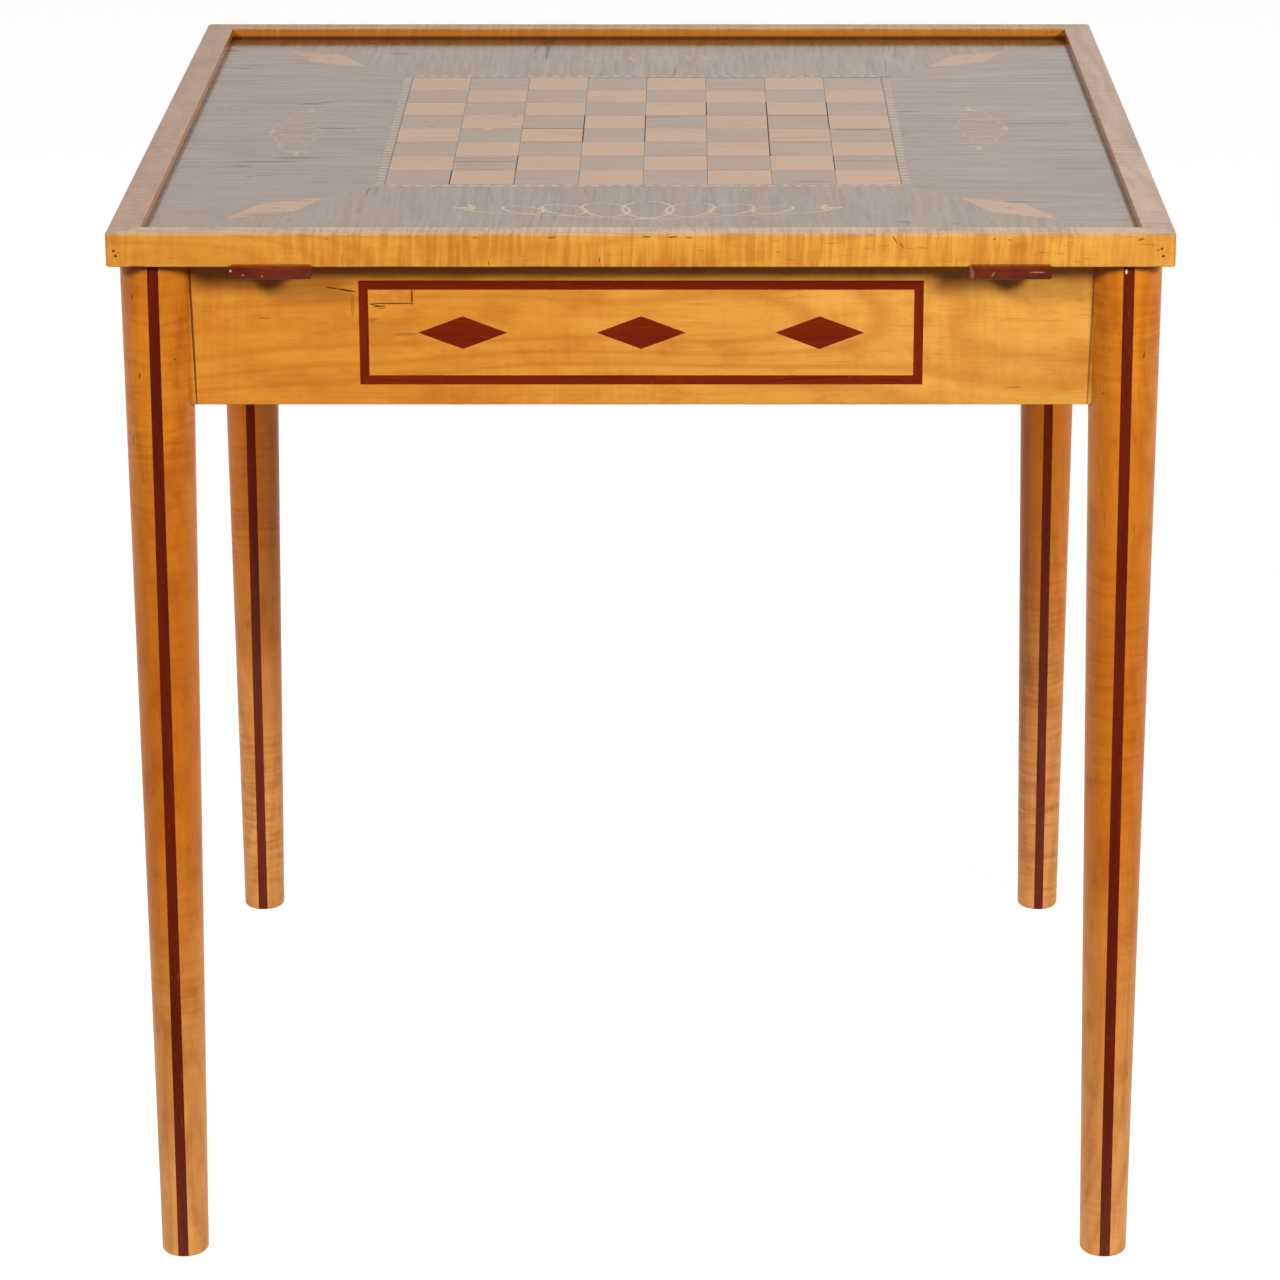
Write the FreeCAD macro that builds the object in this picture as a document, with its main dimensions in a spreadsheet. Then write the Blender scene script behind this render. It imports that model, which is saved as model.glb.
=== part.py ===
import FreeCAD, Part

import math
import os
from types import SimpleNamespace

import Sketcher
from FreeCAD import Placement, Rotation, Vector

# Square chess table on four round tapered legs. The top is a shallow tray: a mitred frame round a
# marquetry board. Two slides with pull bars run out from under the front edge.
#
# Frame: millimetres, +Z up, origin on the floor under the middle of the table. The front, with the
# inlaid apron and the two pull bars, faces -Y.

DRIVING_SIZES = {
    # the top and its frame
    "top_width": 700.0,
    "top_depth": 700.0,
    "table_height": 743.0,
    "top_thickness": 22.0,
    "rail_width": 21.0,
    "rail_corner_radius": 3.5,
    "rail_edge_bevel": 0.8,
    "tray_recess": 7.0,
    "tongue_length": 5.0,
    "tongue_height": 4.0,
    "tongue_rise": 4.5,
    # the marquetry
    "veneer_thickness": 2.5,
    "square_pitch": 44.5,
    "square_gap": 0.2,
    "border_width": 7.2,
    "lozenge_offset": 247.0,
    "lozenge_length": 88.0,
    "lozenge_width": 34.0,
    "centre_length": 11.0,
    "centre_width": 5.0,
    # the legs
    "leg_overhang": 6.0,
    "leg_top_radius": 23.5,
    "leg_foot_radius": 16.3,
    "leg_lean": 4.5,
    "foot_bevel": 2.5,
    "leg_trim": 0.3,
    "string_width": 7.3,
    "string_depth": 2.0,
    # the aprons
    "apron_height": 99.0,
    "apron_thickness": 18.0,
    "apron_setback": 20.0,
    "apron_edge_radius": 0.8,
    "shoulder_from_axis": 19.0,
    "tenon_length": 14.0,
    "tenon_thickness": 6.0,
    "tenon_margin": 12.0,
    # the inlay of the front apron
    "inlay_depth": 1.5,
    "band_length": 373.0,
    "band_height": 71.0,
    "band_width": 6.3,
    "diamond_length": 59.0,
    "diamond_height": 22.4,
    "diamond_pitch": 118.0,
    "patch_length": 29.5,
    "patch_height": 9.0,
    # the corner blocks
    "block_near": 18.0,
    "block_far": 44.0,
    "block_height": 36.0,
    # the two slides
    "slide_centre": 241.8,
    "slide_width": 46.0,
    "slide_thickness": 5.6,
    "slide_travel": 150.0,
    "slide_tail": 68.0,
    "slide_clearance": 0.4,
    "bar_length": 54.0,
    "bar_depth": 8.0,
    "bar_height": 9.0,
    "bar_gap": 0.3,
    "bar_housing": 4.0,
    "bar_rounding": 2.4,
    "bar_bevel": 0.8,
    "guide_wall": 12.0,
    "guide_lip": 5.0,
    "guide_height": 12.0,
    "guide_start": 285.0,
    "guide_end": 75.0,
    "peg_radius": 3.0,
    "peg_length": 14.0,
    "notch_overrun": 5.0,
    # screws and brads
    "screw_radius": 2.0,
    "screw_head_radius": 4.0,
    "screw_head_height": 2.6,
    "screw_bite": 8.0,
    "screw_hole_radius": 2.3,
    "brad_radius": 1.0,
    "brad_length": 32.0,
    "brad_inset": 8.5,
    "brad_recess": 0.3,
}

SQUARES_PER_SIDE = 8
ROOT_HALF = math.sqrt(0.5)
SHEET_NAME = "Sizes"

document = FreeCAD.newDocument("ChessTable")
kept = []


class Length:
    """A length with its number in millimetres and the sheet formula that gives it."""

    def __init__(self, number, formula):
        self.number = float(number)
        self.formula = formula

    def combined(self, other, symbol, number, swapped=False):
        other = as_length(other)
        first, second = (other, self) if swapped else (self, other)
        return Length(number, f"({first.formula} {symbol} {second.formula})")

    def __add__(self, other):
        return self.combined(other, "+", self.number + as_length(other).number)

    def __radd__(self, other):
        return self.combined(other, "+", as_length(other).number + self.number, swapped=True)

    def __sub__(self, other):
        return self.combined(other, "-", self.number - as_length(other).number)

    def __rsub__(self, other):
        return self.combined(other, "-", as_length(other).number - self.number, swapped=True)

    def __mul__(self, factor):
        return self.combined(factor, "*", self.number * as_length(factor).number)

    def __rmul__(self, factor):
        return self.combined(factor, "*", as_length(factor).number * self.number, swapped=True)

    def __truediv__(self, divisor):
        return self.combined(divisor, "/", self.number / as_length(divisor).number)

    def __neg__(self):
        return self * -1


def as_length(value):
    """A plain number as a Length, and a Length as it is."""
    if isinstance(value, Length):
        return value
    return Length(value, repr(float(value)))


def make_sheet():
    """Write the driving sizes to a spreadsheet and return them as Lengths."""
    sheet = document.addObject("Spreadsheet::Sheet", SHEET_NAME)
    for row, (alias, number) in enumerate(DRIVING_SIZES.items(), start=1):
        sheet.set(f"A{row}", alias)
        sheet.set(f"B{row}", str(number))
        sheet.setAlias(f"B{row}", alias)
    document.recompute()
    return SimpleNamespace(
        **{alias: Length(sheet.get(alias), f"{SHEET_NAME}.{alias}") for alias in DRIVING_SIZES}
    )


size = make_sheet()

# Levels above the floor
UNDERSIDE = size.table_height - size.top_thickness
BOARD_TOP = size.table_height - size.tray_recess
PANEL_TOP = BOARD_TOP - size.veneer_thickness
APRON_BOTTOM = UNDERSIDE - size.apron_height
INLAY_MIDDLE = APRON_BOTTOM + size.apron_height / 2

# Distances from the middle of the table
LEG_INSET = size.leg_overhang + size.leg_top_radius
FIELD_HALF = size.square_pitch * SQUARES_PER_SIDE / 2
BORDER_HALF = FIELD_HALF + size.border_width

# The four sides, each drawn as a front side and then turned about the table's middle
SIDES = (
    ("front", 0.0, size.top_width, size.top_depth),
    ("right", 90.0, size.top_depth, size.top_width),
    ("rear", 180.0, size.top_width, size.top_depth),
    ("left", 270.0, size.top_depth, size.top_width),
)


# ---------------------------------------------------------------- construction helpers


def bind(thing, path, value):
    """Bind one property of an object to a Length's formula."""
    thing.setExpression(path, as_length(value).formula)


def keep(piece, label):
    """Name a finished piece and list it for export."""
    piece.Label = label
    kept.append(piece)
    return piece


def new_body(name):
    return document.addObject("PartDesign::Body", name)


def blank_sketch(body, plane_role, offset):
    """A sketch on one of the body's own origin planes, moved along the plane's normal."""
    plane = next(item for item in body.Origin.OriginFeatures if item.Role == plane_role)
    sketch = body.newObject("Sketcher::SketchObject", body.Name + "Sketch")
    sketch.AttachmentSupport = [(plane, "")]
    sketch.MapMode = "FlatFace"
    sketch.AttachmentOffset = Placement(Vector(0, 0, as_length(offset).number), Rotation())
    bind(sketch, "AttachmentOffset.Base.z", offset)
    return sketch


def fix_point(sketch, geometry, end, x, y):
    """Hold one point of a sketch at a bound distance from the origin, both ways."""
    for kind, value in (("DistanceX", x), ("DistanceY", y)):
        index = sketch.addConstraint(
            Sketcher.Constraint(kind, -1, 1, geometry, end, as_length(value).number)
        )
        bind(sketch, f"Constraints[{index}]", value)


def outline(body, plane_role, offset, corners):
    """A closed outline of straight lines through bound corners."""
    sketch = blank_sketch(body, plane_role, offset)
    points = [Vector(as_length(x).number, as_length(y).number, 0) for x, y in corners]
    count = len(points)
    for index in range(count):
        sketch.addGeometry(Part.LineSegment(points[index], points[(index + 1) % count]), False)
    for index in range(count):
        following = (index + 1) % count
        sketch.addConstraint(Sketcher.Constraint("Coincident", index, 2, following, 1))
    for index, (x, y) in enumerate(corners):
        fix_point(sketch, index, 1, x, y)
    return sketch


def rectangle(body, plane_role, offset, low, high):
    """A closed outline between two opposite corners."""
    (x0, y0), (x1, y1) = low, high
    return outline(body, plane_role, offset, [(x0, y0), (x1, y0), (x1, y1), (x0, y1)])


def ring(body, plane_role, offset, x, y, radius):
    """A circle with a bound centre and radius."""
    sketch = blank_sketch(body, plane_role, offset)
    middle = Vector(as_length(x).number, as_length(y).number, 0)
    sketch.addGeometry(Part.Circle(middle, Vector(0, 0, 1), as_length(radius).number), False)
    fix_point(sketch, 0, 3, x, y)
    index = sketch.addConstraint(Sketcher.Constraint("Radius", 0, as_length(radius).number))
    bind(sketch, f"Constraints[{index}]", radius)
    return sketch


def pad(body, sketch, length, reverse=False):
    feature = body.newObject("PartDesign::Pad", body.Name + "Pad")
    feature.Profile = sketch
    feature.Reversed = reverse
    bind(feature, "Length", length)
    return feature


def pocket(body, sketch, length, reverse=False):
    """Cut a sketch's outline out of the body, and make sure that wood was removed."""
    document.recompute()
    before = body.Shape.Volume
    feature = body.newObject("PartDesign::Pocket", body.Name + "Pocket")
    feature.Profile = sketch
    feature.Reversed = reverse
    bind(feature, "Length", length)
    document.recompute()
    if body.Shape.Volume >= before:
        raise RuntimeError(f"{feature.Label} removed nothing")
    return feature


def dress(body, kind, amount_name, amount, chosen):
    """Fillet or chamfer the edges of the body's tip that a test picks."""
    document.recompute()
    tip = body.Tip
    names = [f"Edge{i + 1}" for i, edge in enumerate(tip.Shape.Edges) if chosen(edge)]
    if not names:
        raise RuntimeError(f"{body.Name}: no edge to soften")
    feature = body.newObject("PartDesign::" + kind, body.Name + kind)
    feature.Base = (tip, names)
    bind(feature, amount_name, amount)
    return feature


def fillet(body, radius, chosen):
    return dress(body, "Fillet", "Radius", radius, chosen)


def chamfer(body, leg, chosen):
    return dress(body, "Chamfer", "Size", leg, chosen)


def runs_along(edge, axis):
    """True where an edge is straight and parallel to X, Y or Z."""
    ends = [vertex.Point for vertex in edge.Vertexes]
    if len(ends) != 2 or edge.Curve.TypeId != "Part::GeomLine":
        return False
    direction = (ends[1] - ends[0]).normalize()
    return abs(abs(direction["xyz".index(axis)]) - 1) < 1e-6


def near(value, target):
    return abs(value - as_length(target).number) < 0.01


def turned(body, angle):
    """Turn a side piece drawn at the front to its own side of the table."""
    body.Placement = Placement(Vector(0, 0, 0), Rotation(Vector(0, 0, 1), angle))
    return body


def mirrored(source, across, label):
    """The opposite-hand piece on the other side of the table's middle plane."""
    copy = document.addObject("Part::Mirroring", label)
    copy.Source = source
    copy.Base = Vector(0, 0, 0)
    copy.Normal = Vector(1, 0, 0) if across == "x" else Vector(0, 1, 0)
    return keep(copy, label)


def place(piece, x, y, z):
    for axis, value in (("x", x), ("y", y), ("z", z)):
        bind(piece, "Placement.Base." + axis, value)
    return piece


def box(name, low, extents):
    """A Part box with its low corner and its three sizes bound."""
    piece = document.addObject("Part::Box", name)
    for prop, value in zip(("Length", "Width", "Height"), extents):
        bind(piece, prop, value)
    return place(piece, *low)


def group(label, pieces):
    """One node that holds several separate solids."""
    compound = document.addObject("Part::Compound", label)
    compound.Links = pieces
    return keep(compound, label)


# ---------------------------------------------------------------- the top


def top_panel():
    """The ground board, with a tongue all round that sits in the frame's groove."""
    body = new_body("TopPanel")
    half_x = size.top_width / 2 - size.rail_width
    half_y = size.top_depth / 2 - size.rail_width
    core = rectangle(body, "XY_Plane", UNDERSIDE, (-half_x, -half_y), (half_x, half_y))
    pad(body, core, PANEL_TOP - UNDERSIDE)
    reach_x = half_x + size.tongue_length
    reach_y = half_y + size.tongue_length
    level = UNDERSIDE + size.tongue_rise
    tongue = rectangle(body, "XY_Plane", level, (-reach_x, -reach_y), (reach_x, reach_y))
    pad(body, tongue, size.tongue_height)
    return keep(body, "top_panel")


def rail_profile(body, span, reach):
    """Plan of one mitred rail at the front. Each outer corner is half of a round, up to the mitre."""
    half, front = span / 2, -reach / 2
    radius = size.rail_corner_radius
    inner_x, inner_y = half - size.rail_width, front + size.rail_width
    bite = radius * (1 - ROOT_HALF)
    sketch = blank_sketch(body, "XY_Plane", UNDERSIDE)
    arcs = {1: (-1, 225, 270), 3: (1, 270, 315)}
    corners = [
        (-inner_x, inner_y),
        (-half + bite, front + bite),
        (-half + radius, front),
        (half - radius, front),
        (half - bite, front + bite),
        (inner_x, inner_y),
    ]
    points = [Vector(x.number, y.number, 0) for x, y in corners]
    middle_y = front.number + radius.number
    for index, start in enumerate(points):
        end = points[(index + 1) % len(points)]
        if index in arcs:
            side, opening, closing = arcs[index]
            centre = Vector(side * (half.number - radius.number), middle_y, 0)
            circle = Part.Circle(centre, Vector(0, 0, 1), radius.number)
            edge = Part.ArcOfCircle(circle, math.radians(opening), math.radians(closing))
        else:
            edge = Part.LineSegment(start, end)
        sketch.addGeometry(edge, False)
    for index in range(len(points)):
        following = (index + 1) % len(points)
        sketch.addConstraint(Sketcher.Constraint("Coincident", index, 2, following, 1))
    for index, (x, y) in enumerate(corners):
        fix_point(sketch, index, 1, x, y)
    for index in arcs:
        number = sketch.addConstraint(Sketcher.Constraint("Radius", index, radius.number))
        bind(sketch, f"Constraints[{number}]", radius)
    return sketch


def frame_rail(side, angle, span, reach):
    """One rail of the tray frame: mitred, grooved for the panel, its long edges bevelled."""
    body = new_body("Rail" + side.title())
    pad(body, rail_profile(body, span, reach), size.top_thickness)
    half = span / 2 - size.rail_width
    inner = -reach / 2 + size.rail_width
    groove = [
        (-half, inner),
        (half, inner),
        (half + size.tongue_length, inner - size.tongue_length),
        (-half - size.tongue_length, inner - size.tongue_length),
    ]
    level = UNDERSIDE + size.tongue_rise + size.tongue_height
    pocket(body, outline(body, "XY_Plane", level, groove), size.tongue_height)

    def long_visible_edge(edge):
        if not runs_along(edge, "x"):
            return False
        box_ = edge.BoundBox
        at_top = near(box_.ZMax, size.table_height)
        at_outer_foot = near(box_.ZMax, UNDERSIDE) and near(box_.YMin, -reach / 2)
        return at_top or at_outer_foot

    chamfer(body, size.rail_edge_bevel, long_visible_edge)
    return keep(turned(body, angle), "frame_rail_" + side)


def surround_panel(side, angle, span, reach):
    """A mitred dark veneer with half a lozenge left out at each mitre."""
    body = new_body("Surround" + side.title())
    outer_x = span / 2 - size.rail_width
    outer_y = reach / 2 - size.rail_width
    tip = size.lozenge_length / 2 * ROOT_HALF
    flank = size.lozenge_width / 2 * ROOT_HALF
    middle = size.lozenge_offset
    left_half = [
        (-outer_x, -outer_y),
        (-middle - tip, -middle - tip),
        (-middle + flank, -middle - flank),
        (-middle + tip, -middle + tip),
        (-BORDER_HALF, -BORDER_HALF),
    ]
    right_half = [(-x, y) for x, y in reversed(left_half)]
    plan = outline(body, "XY_Plane", PANEL_TOP, left_half + right_half)
    pad(body, plan, size.veneer_thickness)
    return keep(turned(body, angle), "surround_" + side)


def border_strip(side, angle):
    """One mitred strip of the light border round the squares."""
    body = new_body("Border" + side.title())
    corners = [
        (-BORDER_HALF, -BORDER_HALF),
        (BORDER_HALF, -BORDER_HALF),
        (FIELD_HALF, -FIELD_HALF),
        (-FIELD_HALF, -FIELD_HALF),
    ]
    pad(body, outline(body, "XY_Plane", PANEL_TOP, corners), size.veneer_thickness)
    return keep(turned(body, angle), "border_strip_" + side)


def lozenge_points(middle, length, width):
    """Corners of a lozenge on the diagonal, its long axis pointing to the table's middle."""
    tip = length / 2 * ROOT_HALF
    flank = width / 2 * ROOT_HALF
    return [
        (-middle - tip, -middle - tip),
        (-middle + flank, -middle - flank),
        (-middle + tip, -middle + tip),
        (-middle - flank, -middle + flank),
    ]


def corner_lozenges():
    """Four light lozenges on the mitres, each with a small dark lozenge let into its middle."""
    lights, darks = [], []
    for number, (_, angle, _, _) in enumerate(SIDES):
        dark = new_body(f"LozengeCentre{number}")
        small = lozenge_points(size.lozenge_offset, size.centre_length, size.centre_width)
        pad(dark, outline(dark, "XY_Plane", PANEL_TOP, small), size.veneer_thickness)
        light = new_body(f"Lozenge{number}")
        large = lozenge_points(size.lozenge_offset, size.lozenge_length, size.lozenge_width)
        pad(light, outline(light, "XY_Plane", PANEL_TOP, large), size.veneer_thickness)
        hole = outline(light, "XY_Plane", BOARD_TOP, small)
        pocket(light, hole, size.veneer_thickness)
        lights.append(turned(light, angle))
        darks.append(turned(dark, angle))
    group("corner_lozenges", lights)
    group("lozenge_centres", darks)


def chess_squares():
    """The 64 squares, laid so that each player has a light square at the right hand."""
    side = size.square_pitch - size.square_gap
    half_gap = size.square_gap / 2
    squares = {"light": [], "dark": []}
    for row in range(SQUARES_PER_SIDE):
        for column in range(SQUARES_PER_SIDE):
            tone = "dark" if (row + column) % 2 == 0 else "light"
            low = (
                size.square_pitch * column - FIELD_HALF + half_gap,
                size.square_pitch * row - FIELD_HALF + half_gap,
                PANEL_TOP,
            )
            name = f"Square{row}{column}"
            squares[tone].append(box(name, low, (side, side, size.veneer_thickness)))
    group("light_squares", squares["light"])
    group("dark_squares", squares["dark"])


def mitre_brads():
    """A brad through each mitre, driven from the front and the rear."""
    brads = []
    height = UNDERSIDE + size.top_thickness / 2
    from_middle = size.top_width / 2 - size.brad_inset
    start = size.top_depth / 2 - size.brad_recess
    for front in (1, -1):
        for side in (-1, 1):
            brad = document.addObject("Part::Cylinder", "Brad")
            bind(brad, "Radius", size.brad_radius)
            bind(brad, "Height", size.brad_length)
            brad.Placement.Rotation = Rotation(Vector(1, 0, 0), -90 * front)
            brads.append(place(brad, from_middle * side, start * -front, height))
    group("mitre_brads", brads)


# ---------------------------------------------------------------- the aprons


def apron_blank(side, span, reach):
    """An apron with a tenon at each end, before any inlay or notch."""
    body = new_body("Apron" + side.title())
    shoulder = span / 2 - LEG_INSET - size.shoulder_from_axis
    face = -reach / 2 + size.apron_setback
    back = face + size.apron_thickness
    board = rectangle(body, "XY_Plane", APRON_BOTTOM, (-shoulder, face), (shoulder, back))
    pad(body, board, size.apron_height)
    tip = shoulder + size.tenon_length
    middle = face + size.apron_thickness / 2
    half = size.tenon_thickness / 2
    level = APRON_BOTTOM + size.tenon_margin
    tongue = rectangle(body, "XY_Plane", level, (-tip, middle - half), (tip, middle + half))
    pad(body, tongue, size.apron_height - size.tenon_margin * 2)
    return body


def apron(side, angle, span, reach):
    """A side or rear apron, its lower edges eased."""
    body = apron_blank(side, span, reach)
    ease_lower_edges(body)
    return keep(turned(body, angle), "apron_" + side)


def ease_lower_edges(body):
    def lower_edge(edge):
        return runs_along(edge, "x") and near(edge.BoundBox.ZMax, APRON_BOTTOM)

    fillet(body, size.apron_edge_radius, lower_edge)


def front_apron():
    """The front apron: notched for the slides and let in for banding, diamonds and patch."""
    body = apron_blank("front", size.top_width, size.top_depth)
    ease_lower_edges(body)
    face_offset = size.top_depth / 2 - size.apron_setback
    half_notch = size.slide_width / 2 + size.slide_clearance
    floor = UNDERSIDE - size.slide_thickness - size.slide_clearance * 2
    for side in (-1, 1):
        middle = size.slide_centre * side
        low = (middle - half_notch, floor)
        high = (middle + half_notch, UNDERSIDE + size.slide_clearance)
        notch = rectangle(body, "XZ_Plane", face_offset + size.notch_overrun, low, high)
        pocket(body, notch, size.apron_thickness + size.notch_overrun * 2)
    for points in inlay_outlines().values():
        pocket(body, outline(body, "XZ_Plane", face_offset, points), size.inlay_depth)
    return keep(body, "apron_front")


def inlay_outlines():
    """Each inlay of the front apron as an outline in X and Z, seen from the front."""
    half_x, half_z = size.band_length / 2, size.band_height / 2
    width = size.band_width
    low, high = INLAY_MIDDLE - half_z, INLAY_MIDDLE + half_z
    in_x, in_low, in_high = half_x - width, low + width, high - width
    shapes = {
        "apron_band_top": [(-half_x, high), (-in_x, in_high), (in_x, in_high), (half_x, high)],
        "apron_band_bottom": [(-half_x, low), (half_x, low), (in_x, in_low), (-in_x, in_low)],
        "apron_band_left": [(-half_x, low), (-in_x, in_low), (-in_x, in_high), (-half_x, high)],
        "apron_band_right": [(half_x, low), (half_x, high), (in_x, in_high), (in_x, in_low)],
    }
    for place_name, step in (("left", -1), ("middle", 0), ("right", 1)):
        x = size.diamond_pitch * step
        shapes["apron_diamond_" + place_name] = [
            (x - size.diamond_length / 2, INLAY_MIDDLE),
            (x, INLAY_MIDDLE - size.diamond_height / 2),
            (x + size.diamond_length / 2, INLAY_MIDDLE),
            (x, INLAY_MIDDLE + size.diamond_height / 2),
        ]
    patch_x, patch_z = -in_x + size.patch_length, in_high - size.patch_height
    shapes["repair_patch"] = [
        (-in_x, patch_z),
        (patch_x, patch_z),
        (patch_x, in_high),
        (-in_x, in_high),
    ]
    return shapes


def apron_inlays():
    """The dark banding, the three dark diamonds and the light patch, flush with the apron."""
    face_offset = size.top_depth / 2 - size.apron_setback
    for label, points in inlay_outlines().items():
        body = new_body(label.title().replace("_", ""))
        sketch = outline(body, "XZ_Plane", face_offset, points)
        pad(body, sketch, size.inlay_depth, reverse=True)
        keep(body, label)


# ---------------------------------------------------------------- the legs


def leg_axis(level):
    """How far the front left leg's axis stands from the table's middle planes at a level."""
    lean = size.leg_lean * (0 if level == "top" else 1)
    along_x = size.top_width / 2 - LEG_INSET + lean
    along_y = size.top_depth / 2 - LEG_INSET + lean
    return -along_x, -along_y


def turned_leg():
    """The leg as it comes off the lathe: a straight taper with a bevelled foot, a little too long."""
    body = new_body("TurnedLeg")
    bottom, top = -size.leg_trim, UNDERSIDE + size.leg_trim
    profile = [(0, bottom), (size.leg_foot_radius, bottom), (size.leg_top_radius, top), (0, top)]
    sketch = outline(body, "XZ_Plane", 0, profile)
    taper = body.newObject("PartDesign::Revolution", "LegTaper")
    taper.Profile = sketch
    taper.ReferenceAxis = (sketch, ["V_Axis"])
    chamfer(body, size.foot_bevel, lambda edge: near(edge.BoundBox.ZMax, bottom))
    return body


def leg_blank():
    """The turned leg stood in its corner, leaning out, with both ends sawn level."""
    turning = turned_leg()
    foot_x, foot_y = leg_axis("foot")
    place(turning, foot_x, foot_y, 0)
    turning.Placement.Rotation = Rotation(Vector(-1, 1, 0), 1)
    lean = size.leg_lean * math.sqrt(2) / UNDERSIDE
    turning.setExpression("Placement.Rotation.Angle", f"atan({lean.formula})")
    reach = size.leg_top_radius * 2
    low = (foot_x - reach, foot_y - reach, 0)
    slab = box("LegLevels", low, (reach * 2, reach * 2, UNDERSIDE))
    blank = document.addObject("Part::Common", "LegBlank")
    blank.Base = turning
    blank.Tool = slab
    return blank


def string_bar(side):
    """A bar along the leg's front or rear line that reaches in as deep as the stringing does."""
    facing = -1 if side == "front" else 1
    body = new_body("StringBar" + side.title())
    sections = []
    for level, offset, radius in (
        ("foot", 0, size.leg_foot_radius),
        ("top", UNDERSIDE, size.leg_top_radius),
    ):
        x, y = leg_axis(level)
        half = size.string_width / 2
        inner = y + (radius - size.string_depth) * facing
        outer = y + (radius + size.string_depth) * facing
        ends = (inner, outer) if side == "rear" else (outer, inner)
        low, high = (x - half, ends[0]), (x + half, ends[1])
        sections.append(rectangle(body, "XY_Plane", offset, low, high))
    bar = body.newObject("PartDesign::AdditiveLoft", body.Name + "Loft")
    bar.Profile = sections[0]
    bar.Sections = [sections[1]]
    bar.Ruled = True
    return body


def legs(aprons):
    """Cut the joints and string grooves of the front left leg, then mirror it to each corner.

    A string on the side where an apron joins ends under that apron.
    """
    blank = leg_blank()
    bars = {side: string_bar(side) for side in ("front", "rear")}
    joined = document.addObject("Part::MultiFuse", "JoinedAprons")
    joined.Shapes = [aprons["front"], aprons["left"]]
    cutter = document.addObject("Part::MultiFuse", "LegCutter")
    cutter.Shapes = [bars["front"], bars["rear"], joined]
    leg = document.addObject("Part::Cut", "LegFrontLeft")
    leg.Base = blank
    leg.Tool = cutter
    pieces = {"leg_{}": keep(leg, "leg_front_left")}
    for side, bar in bars.items():
        strip = document.addObject("Part::Common", "StringStrip" + side.title())
        strip.Base = blank
        strip.Tool = bar
        string = document.addObject("Part::Cut", "String" + side.title())
        string.Base = strip
        string.Tool = joined
        pieces["leg_string_{}_" + side] = keep(string, "leg_string_front_left_" + side)
    opposite = {"front": "rear", "rear": "front"}
    for pattern, source in pieces.items():
        right = mirrored(source, "x", pattern.format("front_right"))
        facing = pattern.rpartition("_")[2]
        rear_pattern = pattern
        if facing in opposite:
            rear_pattern = pattern[: -len(facing)] + opposite[facing]
        mirrored(source, "y", rear_pattern.format("rear_left"))
        mirrored(right, "y", rear_pattern.format("rear_right"))


# ---------------------------------------------------------------- blocks and screws


def screw(name, x, y, seat, length):
    """A flat-headed screw driven upwards, its head under the seat level."""
    head = document.addObject("Part::Cylinder", name + "Head")
    bind(head, "Radius", size.screw_head_radius)
    bind(head, "Height", size.screw_head_height)
    place(head, x, y, seat - size.screw_head_height)
    shank = document.addObject("Part::Cylinder", name + "Shank")
    bind(shank, "Radius", size.screw_radius)
    bind(shank, "Height", length)
    place(shank, x, y, seat)
    whole = document.addObject("Part::Fuse", name)
    whole.Base = head
    whole.Tool = shank
    return whole


def corner_blocks():
    """A block glued across each inner corner, with a screw up into the top."""
    body = new_body("CornerBlock")
    wall_x = -(size.top_width / 2 - size.apron_setback - size.apron_thickness)
    wall_y = -(size.top_depth / 2 - size.apron_setback - size.apron_thickness)
    corners = [
        (wall_x, wall_y + size.block_near),
        (wall_x + size.block_near, wall_y),
        (wall_x + size.block_far, wall_y),
        (wall_x, wall_y + size.block_far),
    ]
    bottom = UNDERSIDE - size.block_height
    pad(body, outline(body, "XY_Plane", bottom, corners), size.block_height)
    reach = (size.block_near + size.block_far) / 4
    x, y = wall_x + reach, wall_y + reach
    hole = ring(body, "XY_Plane", bottom, x, y, size.screw_hole_radius)
    pocket(body, hole, size.block_height, reverse=True)
    block = keep(body, "corner_block_front_left")
    right = mirrored(block, "x", "corner_block_front_right")
    mirrored(block, "y", "corner_block_rear_left")
    mirrored(right, "y", "corner_block_rear_right")
    length = size.block_height + size.screw_bite
    screws = []
    for sign_x in (1, -1):
        for sign_y in (1, -1):
            screws.append(screw("CornerScrew", x * sign_x, y * sign_y, bottom, length))
    group("corner_screws", screws)


# ---------------------------------------------------------------- the slides

SLIDE_BOTTOM = UNDERSIDE - size.slide_clearance - size.slide_thickness
BAR_BACK = -(size.top_depth / 2 + size.bar_gap)
APRON_BACK = -(size.top_depth / 2 - size.apron_setback - size.apron_thickness)
PEG_MIDDLE = APRON_BACK + size.slide_clearance + size.slide_travel + size.peg_radius


def slide_board():
    """The left slide: a thin board from the pull bar back past its stop peg."""
    body = new_body("SlideBoard")
    half = size.slide_width / 2
    low = (-size.slide_centre - half, BAR_BACK - size.bar_housing)
    high = (-size.slide_centre + half, PEG_MIDDLE + size.slide_tail)
    pad(body, rectangle(body, "XY_Plane", SLIDE_BOTTOM, low, high), size.slide_thickness)
    peg = ring(body, "XY_Plane", SLIDE_BOTTOM, -size.slide_centre, PEG_MIDDLE, size.peg_radius)
    pocket(body, peg, size.slide_thickness, reverse=True)
    return body


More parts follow.
